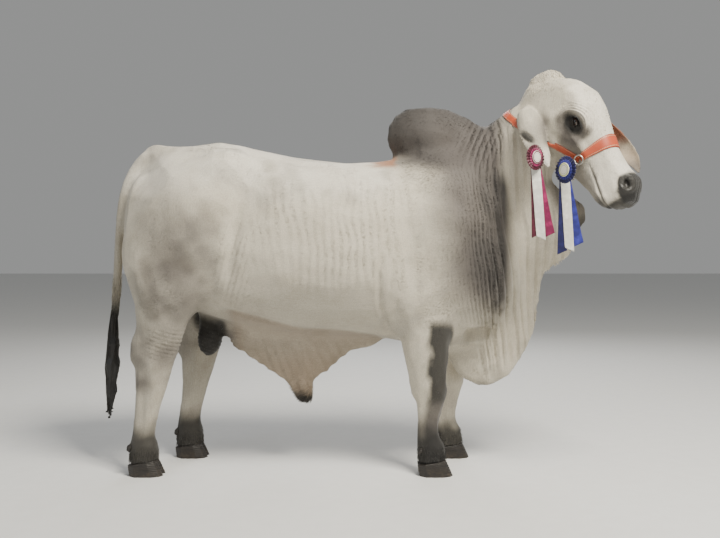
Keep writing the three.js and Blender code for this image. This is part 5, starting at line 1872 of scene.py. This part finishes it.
class CardFinish(Shader):
    """The rosette's card centre: off-white, with plain rings and a little grime."""

    def __init__(self, ring: Satin) -> None:
        """Dresses the centre by how far out on it a place lies.

        Args:
            ring: The colour of the printed ring.
        """
        super().__init__(f"card_{ring.name.lower()}")
        out = self.mask("Across")
        grime = self.noise(95, 5, 0.6)
        tint = self.mix(grime.step(0.5, 0.8) * 0.35, (0.74, 0.71, 0.63), (0.5, 0.46, 0.38))
        band = out.step(0.76, 0.8) * (1 - out.step(0.93, 0.96))
        tint = self.mix(band, tint, ring.value)
        line = out.step(0.58, 0.6) * (1 - out.step(0.625, 0.645))
        tint = self.mix(line * 0.85, tint, (0.08, 0.07, 0.09))
        self.surface(Base_Color=tint, Roughness=0.42 + grime * 0.2,
                     Normal=self.bump(band * 0.5 + grime * 0.3, 0.0005, 0.6), Coat_Weight=0.25,
                     Coat_Roughness=0.15)


@dataclass(frozen=True)
class Tail:
    """One ribbon tail: its colour, how far behind the rosette it hangs, and its cut."""

    shade: Satin
    behind: float
    long: float
    wide: float
    fan: float
    slant: float


@dataclass
class Award:
    """A show rosette: two pleated rings round a card centre, and three ribbon tails."""

    name: str
    node: str
    at: Triple
    facing: Triple
    hang: Triple
    radius: float
    shades: tuple[Satin, Satin, Satin]
    tails: tuple[Tail, ...]
    disc: Object = None
    ribbons: list[Object] = field(default_factory=list)

    def build(self, finishes: dict[Satin, Material]) -> None:
        """Makes the rosette and its tails.

        Args:
            finishes: The satin of each shade.
        """
        size = self.radius
        outer = self._ruffle(0.4 * size, 0.985 * size, 24, 2.6, -1, finishes[self.shades[0]])
        inner = self._ruffle(0.34 * size, 0.72 * size, 20, 1.7, 3.4, finishes[self.shades[1]])
        card = self._card(0.5 * size)
        card.data.materials.append(CardFinish(self.shades[2]).material)
        self.disc = joined(f"{self.name}_rosette", outer, inner, card)
        for tail in self.tails:
            ribbon = self._tail(tail)
            ribbon.data.materials.append(finishes[tail.shade])
            self.ribbons.append(ribbon)

    def _frame(self, facing: Triple) -> Rows:
        """The axes of a disc that faces a way.

        Args:
            facing: The way.

        Returns:
            Rows: across, upwards and out of the disc.
        """
        out = unit(np.array([facing]))[0]
        across = unit(np.cross((0, 0, 1), out)[None])[0]
        return np.array([across, np.cross(out, across), out])

    def _ruffle(self, low: float, high: float, pleats: int, stand: float, lift: float,
                finish: Material) -> Object:
        """One ring of knife pleats.

        Args:
            low: Its inner radius.
            high: Its outer radius.
            pleats: How many pleats go round.
            stand: How far a pleat's edge stands out.
            lift: How far in front of the rosette's own plane it lies.
            finish: Its satin.

        Returns:
            The ring of cloth with its thickness.
        """
        ring, u, v = patch("ruffle", pleats * 10, 10)
        turn = math.tau * u
        phase = (u * pleats) % 1
        fold = np.where(phase < 0.72, phase / 0.72, (1 - phase) / 0.28) * 2 - 1
        slip = 0.55 * (math.tau / pleats) * v * np.sin(math.tau * phase) * 0.25
        radius = low + (high - low) * v * (1 - 0.018 * wave(phase, 1))
        out = lift + stand * fold * (0.25 + 0.75 * v) + 1.4 * np.sin(3 * turn + low) * v - 2 * v * v
        local = np.stack([radius * np.cos(turn + slip), radius * np.sin(turn + slip), out], 1)
        axes = self._frame(self.facing)
        put(ring, STAND.metres(local @ axes + self.at))
        paint(ring, "Along", turn * radius * MM)
        paint(ring, "Across", 2 * v - 1)
        edit(ring, lambda: bpy.ops.mesh.remove_doubles(threshold=1e-6))
        self._thicken(ring, np.array(self.at) - 90 * axes[2], 0.9)
        ring.data.materials.append(finish)
        return ring

    def _thicken(self, cloth: Object, behind: Rows, thick: float) -> None:
        """Gives a sheet of cloth its thickness.

        Args:
            cloth: The sheet.
            behind: A place behind it, in the bull's own measures.
            thick: How many millimetres.
        """
        outward(cloth, STAND.metres(behind))
        finish_with(cloth, "SOLIDIFY", thickness=thick * MM, offset=0)
        outward(cloth)

    def _card(self, radius: float) -> Object:
        """The domed centre with its rolled edge.

        Args:
            radius: How wide it is from its middle, in millimetres.

        Returns:
            The card.
        """
        card = primitive("card", bpy.ops.mesh.primitive_uv_sphere_add, segments=48, ring_count=24, radius=1)
        local = places(card)
        out = np.hypot(local[:, 0], local[:, 1])
        high = np.sign(local[:, 2]) * (1 - out ** 4) ** 0.5
        dome = 6.2 + 2.2 * high * (1 - 0.35 * out ** 2) + 0.9 * bell(out - 0.9, 0.07)
        local = np.stack([local[:, 0] * radius, local[:, 1] * radius, np.where(high > 0, dome, 5.2)], 1)
        put(card, STAND.metres(local @ self._frame(self.facing) + self.at))
        paint(card, "Across", out)
        paint(card, "Along", out * 0)
        outward(card)
        return card

    def _tail(self, tail: Tail) -> Object:
        """One ribbon tail, a little cupped and curled, hung from the rosette's back.

        Args:
            tail: Its colour, cut and place.

        Returns:
            The ribbon with its thickness.
        """
        ribbon, u, v = patch(f"{self.name}_ribbon_{tail.shade.name.lower()}", 12, 64)
        axes = self._frame(self.hang)
        across, t = 2 * u - 1, v
        middle = np.array(self.at) + np.outer(tail.fan * t, axes[0])
        middle = middle + np.outer(-tail.behind + 6 * np.sin(5 * t) * t, axes[2])
        middle[:, 2] += -8 - t * tail.long
        cup = 0.5 * (1 - across ** 2) * np.sin(9 * t + tail.fan * 0.1) - 0.25
        spot = middle + np.outer(across * tail.wide / 2, axes[0]) + np.outer(cup, axes[2])
        spot[:, 2] += across * tail.slant * ramp(0.8, 1, t)
        put(ribbon, STAND.metres(spot))
        paint(ribbon, "Along", t * tail.long * MM)
        paint(ribbon, "Across", across)
        self._thicken(ribbon, np.array(self.at) - 400 * axes[2], 0.7)
        return ribbon


@dataclass
class Awards:
    """Both rosettes, pinned side by side below the near ear."""

    pair: tuple[Award, ...] = (
        Award("burgundy", "rosette_burgundy", (658, -398, 1360), (0.6, -0.8, 0), (-0.05, -1, 0),
              53, (Satin.BURGUNDY, Satin.MAGENTA, Satin.BURGUNDY),
              (Tail(Satin.BURGUNDY, 30.5, 312, 36, 8, 9),
               Tail(Satin.WHITE, 27, 322, 38, 28, -9),
               Tail(Satin.MAGENTA, 34, 308, 38, 66, 9))),
        Award("navy", "rosette_navy", (787, -354, 1313), (-0.85, -0.53, 0), (-0.2, -1, 0),
              58, (Satin.NAVY, Satin.BLUE, Satin.LIME),
              (Tail(Satin.NAVY, 36.5, 334, 40, -8, 9),
               Tail(Satin.WHITE, 33, 322, 38, 22, -9),
               Tail(Satin.BLUE, 40, 300, 38, 60, 9))))

    def build(self) -> None:
        """Makes both rosettes."""
        finishes = {shade: SatinFinish(shade).material for shade in Satin if shade is not Satin.LIME}
        for award in self.pair:
            award.build(finishes)


@dataclass(frozen=True)
class Growth:
    """How the coat grows in one stretch of the body, on the trunk between two places along it."""

    name: str
    count: int
    length: float
    width: float
    stand: float
    trunk: Pair | None = None
    steps: int = 1


@dataclass
class Coat:
    """The tufts that break the short coat, on every side, in a few pieces."""

    hide: Object
    growths: tuple[Growth, ...] = (
        Growth("coat_quarters", 40000, 10, 1.15, 0.16, (-9999, -480)),
        Growth("coat_barrel", 40000, 10, 1.15, 0.15, (-480, 60)),
        Growth("coat_fore", 44000, 10.5, 1.15, 0.17, (60, 430)),
        Growth("coat_neck", 44000, 11, 1.1, 0.18, (430, 9999)),
        Growth("coat_head", 44000, 4.8, 0.7, 0.15), Growth("coat_legs", 34000, 7.5, 0.95, 0.16),
        Growth("coat_fringe", 9000, 15, 0.9, 0.45, steps=4))
    patch_size: float = 0.0015
    pieces: list[Object] = field(default_factory=list)

    def build(self, worn: BVHTree) -> None:
        """Grows every stretch of the coat, and none under what the bull wears.

        Args:
            worn: The straps and rings, which the coat stays clear of.
        """
        draw = np.random.default_rng(101)
        finish = CoatFinish().material
        self._read()
        for growth in self.growths:
            spots = self._clear(self._roots(growth, draw), worn)
            piece = self._grow(growth, spots, draw)
            piece.data.materials.append(finish)
            self.pieces.append(piece)
            LOG.info("%s: %d tufts, %d triangles", growth.name, len(spots[0]), len(piece.data.polygons))

    def _read(self) -> None:
        """Reads the hide's triangles and unwraps them for the tufts' own maps."""
        edit(self.hide, lambda: bpy.ops.uv.smart_project(angle_limit=math.radians(66), island_margin=0))
        mesh = self.hide.data
        mesh.uv_layers.active.name = "OFBake"
        self.faces = read(mesh.loops, "vertex_index", 1, np.int32).reshape(-1, 3)
        self.flat = read(mesh.uv_layers["OFBake"].data, "uv", 2, np.float32).reshape(-1, 3, 2)
        self.spots = measured(self.hide)
        self.facing = normals(self.hide)
        first, second, third = self.spots[self.faces].transpose(1, 0, 2)
        self.areas = 0.5 * np.linalg.norm(np.cross(second - first, third - first), axis=1)
        self.middles = self.spots[self.faces].mean(axis=1)

    def _share(self, growth: Growth) -> Rows:
        """How densely a stretch of the coat grows.

        Args:
            growth: The stretch.

        Returns:
            A number for each triangle of the hide.
        """
        x, y, z = self.middles.T
        along, left, out = STAND.to_head(self.middles).T
        head = ramp(-90, -30, along + 0.8 * out) * (x > 560)
        legs = ((x < -560) & (z < 700)) | ((x > 20) & (x < 500) & (z < 620) & (np.abs(y) > 70))
        if growth.trunk:
            low, high = growth.trunk
            return (~legs & (head < 0.5) & (x >= low) & (x < high)).astype(float)
        if growth.name == "coat_legs":
            return legs * ramp(62, 80, z)
        bare = Brush(self.middles).coat()[1]
        eye = np.linalg.norm(np.stack([along, np.abs(left), out], 1) - STAND.eye_at, axis=1)
        if growth.name == "coat_head":
            return head * (1 - bare) * ramp(26, 40, eye) * (head >= 0.5)
        return self._fringe() * (1 - bare)

    def _fringe(self) -> Rows:
        """Where the coat is long: poll, ear rims, throat, brisket, sheath and fetlocks.

        Returns:
            A number for each triangle of the hide.
        """
        x, y, z = self.middles.T
        along, left, out = STAND.to_head(self.middles).T
        poll = bell(np.hypot(along + 20, out - 70), 60) * (x > 600)
        ears = 0.4 * ((y < -285) & (x > 620) & (z > 1290))
        ears = ears + 0.4 * ((x > 960) & (z > 1300) & (along < 330) & (left > 110))
        down = np.clip(-self.facing[self.faces[:, 0], 2], 0, 1)
        edge = down * ((x > 480) & (z > 420)) * ramp(0.5, 0.9, down) * ramp(860, 800, x)
        sheath = bell(np.hypot(x + 300, z - 300), 55)
        fetlock = ((x < -560) | ((x > 20) & (x < 500))) * bell(z - 92, 26)
        tail = (x < -1095) * ramp(900, 740, z)
        return 1.6 * poll + 0.25 * ears + 0.5 * edge + 2.5 * sheath + 0.9 * fetlock + 2 * tail

    def _roots(self, growth: Growth, draw: np.random.Generator) -> tuple[Rows, ...]:
        """Picks where tufts grow: triangles at random by area and density, and a place in each.

        Args:
            growth: The stretch.
            draw: The source of chance.

        Returns:
            The roots' places, the hide's facing there, and their places on its map.
        """
        weight = self.areas * self._share(growth)
        chosen = draw.choice(len(weight), growth.count, p=weight / weight.sum())
        first, second = np.sqrt(draw.uniform(size=growth.count)), draw.uniform(size=growth.count)
        bary = np.stack([1 - first, first * (1 - second), first * second], 1)[..., None]
        place, facing, flat = ((rows * bary).sum(axis=1) for rows in (
            self.spots[self.faces[chosen]], self.facing[self.faces[chosen]], self.flat[chosen]))
        return place, unit(facing), flat

    def _clear(self, spots: tuple[Rows, ...], worn: BVHTree) -> tuple[Rows, ...]:
        """Leaves out the roots under or close to the halter.

        Args:
            spots: The roots, as they were picked.
            worn: The straps and rings.

        Returns:
            The roots that stay.
        """
        place = spots[0]
        keep = np.ones(len(place), bool)
        where = STAND.metres(place)
        for k in np.flatnonzero((place[:, 0] > 560) & (place[:, 2] > 1150)):
            keep[k] = worn.find_nearest(Vector(where[k]), 0.0075)[0] is None
        return tuple(rows[keep] for rows in spots)

    def _grow(self, growth: Growth, spots: tuple[Rows, ...],
              draw: np.random.Generator) -> Object:
        """Makes the tufts of one stretch.

        Args:
            growth: Its length, width and stand.
            spots: The roots' places, the hide's facing there, and their places on its map.
            draw: The source of its variation.

        Returns:
            The tufts, painted and mapped.
        """
        place, facing, flat = spots
        count = len(place)
        lie = lie_of_hair(place)
        swirl = 0.22 * drift(place, 90, 61)[:, None] * np.cross(facing, lie)
        lie = lie + swirl + 0.16 * draw.normal(size=(count, 3))
        lie = unit(lie - facing * np.sum(lie * facing, axis=1, keepdims=True))
        size = growth.length * draw.uniform(0.7, 1.3, count) * (1 + 0.25 * drift(place, 120, 62))
        if growth.name == "coat_head":
            size = size * (0.62 + 0.6 * ramp(240, 40, STAND.to_head(place)[:, 0]))
        elif growth.name == "coat_legs":
            size = size * (0.65 + 0.45 * ramp(120, 400, place[:, 2]))
        elif growth.name == "coat_fringe":
            size = size * (1 - 0.5 * ramp(1280, 1320, place[:, 2]))
        root = place - facing * 0.9
        t = np.linspace(0, 1, growth.steps + 1)
        height = growth.stand * (1.4 * t - 0.75 * t * t)
        spines = root[:, None] + size[:, None, None] * (t[None, :, None] * lie[:, None]
                                                       + height[None, :, None] * facing[:, None])
        if growth.steps > 2:
            spines = spines + np.array([0, 0, -1]) * (t ** 2)[None, :, None] * 0.25 * size[:, None, None]
        across = np.cross(facing, lie)
        wide = growth.width * draw.uniform(0.75, 1.25, count)
        piece = strands(growth.name, spines, across, wide, 0.55, np.linspace(1, 0.35, growth.steps + 1))
        corners = 3 * growth.steps + 1
        colours = Brush(place).coat()[0]
        shade = np.clip(colours * draw.uniform(0.84, 1.16, (count, 1)), 0.004, 0.9)
        paint(piece, "Coat", np.repeat(shade, corners, axis=0))
        paint(piece, "Each", np.repeat(draw.uniform(0, 1, count), corners))
        self._map(piece, flat, corners)
        return piece

    def _map(self, piece: Object, flat: Rows, corners: int) -> None:
        """Gives each tuft its small patch of the hide's own map.

        Args:
            piece: The tufts.
            flat: The roots' places on the map.
            corners: How many vertices a tuft has.
        """
        turn = math.tau * np.arange(corners) / corners
        spread = self.patch_size * np.stack([np.cos(turn), np.sin(turn)], 1)
        whole = (np.clip(flat, 0.002, 0.998)[:, None] + spread[None]).reshape(-1, 2)
        index = read(piece.data.loops, "vertex_index", 1, np.int32)[:, 0]
        layer = piece.data.uv_layers.new(name="OFBake")
        layer.data.foreach_set("uv", np.ascontiguousarray(whole[index], dtype=np.float32).ravel())


@dataclass
class Studio:
    """The pale floor, the soft lights and the photograph's camera."""

    camera_at: Triple = (-59, -3900, 988)
    look_down: float = 1.37
    lens: float = 42.85

    def build(self) -> None:
        """Adds the floor, lights, world and camera."""
        floor = primitive("floor", bpy.ops.mesh.primitive_plane_add, size=60)
        shader = Shader("pale_floor")
        grain = shader.noise(14, 3)
        shader.surface(Base_Color=shader.mix(grain, (0.66, 0.66, 0.65), (0.72, 0.72, 0.71)), Roughness=0.9)
        floor.data.materials.append(shader.material)
        self._light("key", (1.9, -2.9, 5.2), 2, 640, (1, 0.95, 0.84))
        self._light("fill", (-4.2, -4.4, 2.6), 3.6, 60, (0.95, 0.97, 1))
        self._light("rim", (0.6, 4.2, 3.8), 3, 120, (1, 1, 1))
        world = bpy.data.worlds.new("studio")
        world.use_nodes = True
        world.node_tree.nodes["Background"].inputs[0].default_value = (0.93, 0.94, 0.93, 1)
        world.node_tree.nodes["Background"].inputs[1].default_value = 0.33
        bpy.context.scene.world = world
        bpy.ops.object.camera_add(location=tuple(STAND.metres(np.array(self.camera_at))),
                                  rotation=(math.radians(90 - self.look_down), 0, 0))
        camera = bpy.context.object
        camera.data.lens = self.lens
        camera.data.sensor_width = 36
        bpy.context.scene.camera = camera

    def _light(self, name: str, at: tuple, size: float, watts: float, colour: tuple) -> None:
        """One square lamp that faces the bull.

        Args:
            name: Its name.
            at: Where it stands, in metres.
            size: How wide it is.
            watts: Its power.
            colour: Its light.
        """
        bpy.ops.object.light_add(type="AREA", location=at)
        lamp = bpy.context.object
        lamp.name = name
        lamp.data.size = size
        lamp.data.energy = watts
        lamp.data.color = colour
        lamp.rotation_euler = (Vector((0, 0, 0.9)) - Vector(at)).to_track_quat("-Z", "Y").to_euler()


def settle(piece: Object, slot: str, *nodes: str) -> None:
    """Makes a piece ride on the bull, in place of the nodes it stands for.

    Args:
        piece: The piece.
        slot: Not used.
        nodes: The CAD nodes, if there are any.
    """
    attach(piece, "root")
    if nodes:
        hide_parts(*nodes)
    LOG.info("%s: %d faces", piece.name, len(piece.data.polygons))


def main() -> None:
    """Builds the bull, what it wears and the studio."""
    logging.basicConfig(level=logging.INFO, format="%(name)s: %(message)s")
    Studio().build()
    hide = Hide()
    hide.build()
    settle(hide.piece, "pale_hide", *hide.flesh())
    eyes = Eyes()
    eyes.build()
    for ball, node in zip(eyes.balls, ("eye_right", "eye_left")):
        settle(ball, "eye", node)
    settle(eyes.lids, "dark_hide")
    hooves = Hooves()
    hooves.build()
    settle(hooves.piece, "horn", *hooves.nodes())
    switch = Switch()
    switch.build()
    settle(switch.piece, "dark_hide", "tail_switch")
    halter = Halter(hide=hide.piece)
    halter.build()
    settle(halter.noseband, "strap", "halter_noseband")
    for strap, node in zip(halter.cheeks, ("halter_cheek_strap_right", "halter_cheek_strap_left")):
        settle(strap, "strap", node)
    settle(halter.crown, "strap", "halter_crown_strap")
    for ring, node in zip(halter.rings, ("halter_ring_right", "halter_ring_left")):
        settle(ring, "steel", node)
    chain = ChinChain()
    chain.build()
    settle(chain.piece, "steel", "chin_chain")
    awards = Awards()
    awards.build()
    for award in awards.pair:
        settle(award.disc, f"{award.name}_ribbon", award.node)
        for ribbon, tail in zip(award.ribbons, award.tails):
            shade = tail.shade.name.lower()
            settle(ribbon, f"{shade}_ribbon", f"ribbon_{award.name}_{shade}")
    coat = Coat(hide.piece)
    coat.build(halter.surface_of())
    for piece in coat.pieces:
        settle(piece, "pale_hide")


if __name__ == "__main__":
    main()
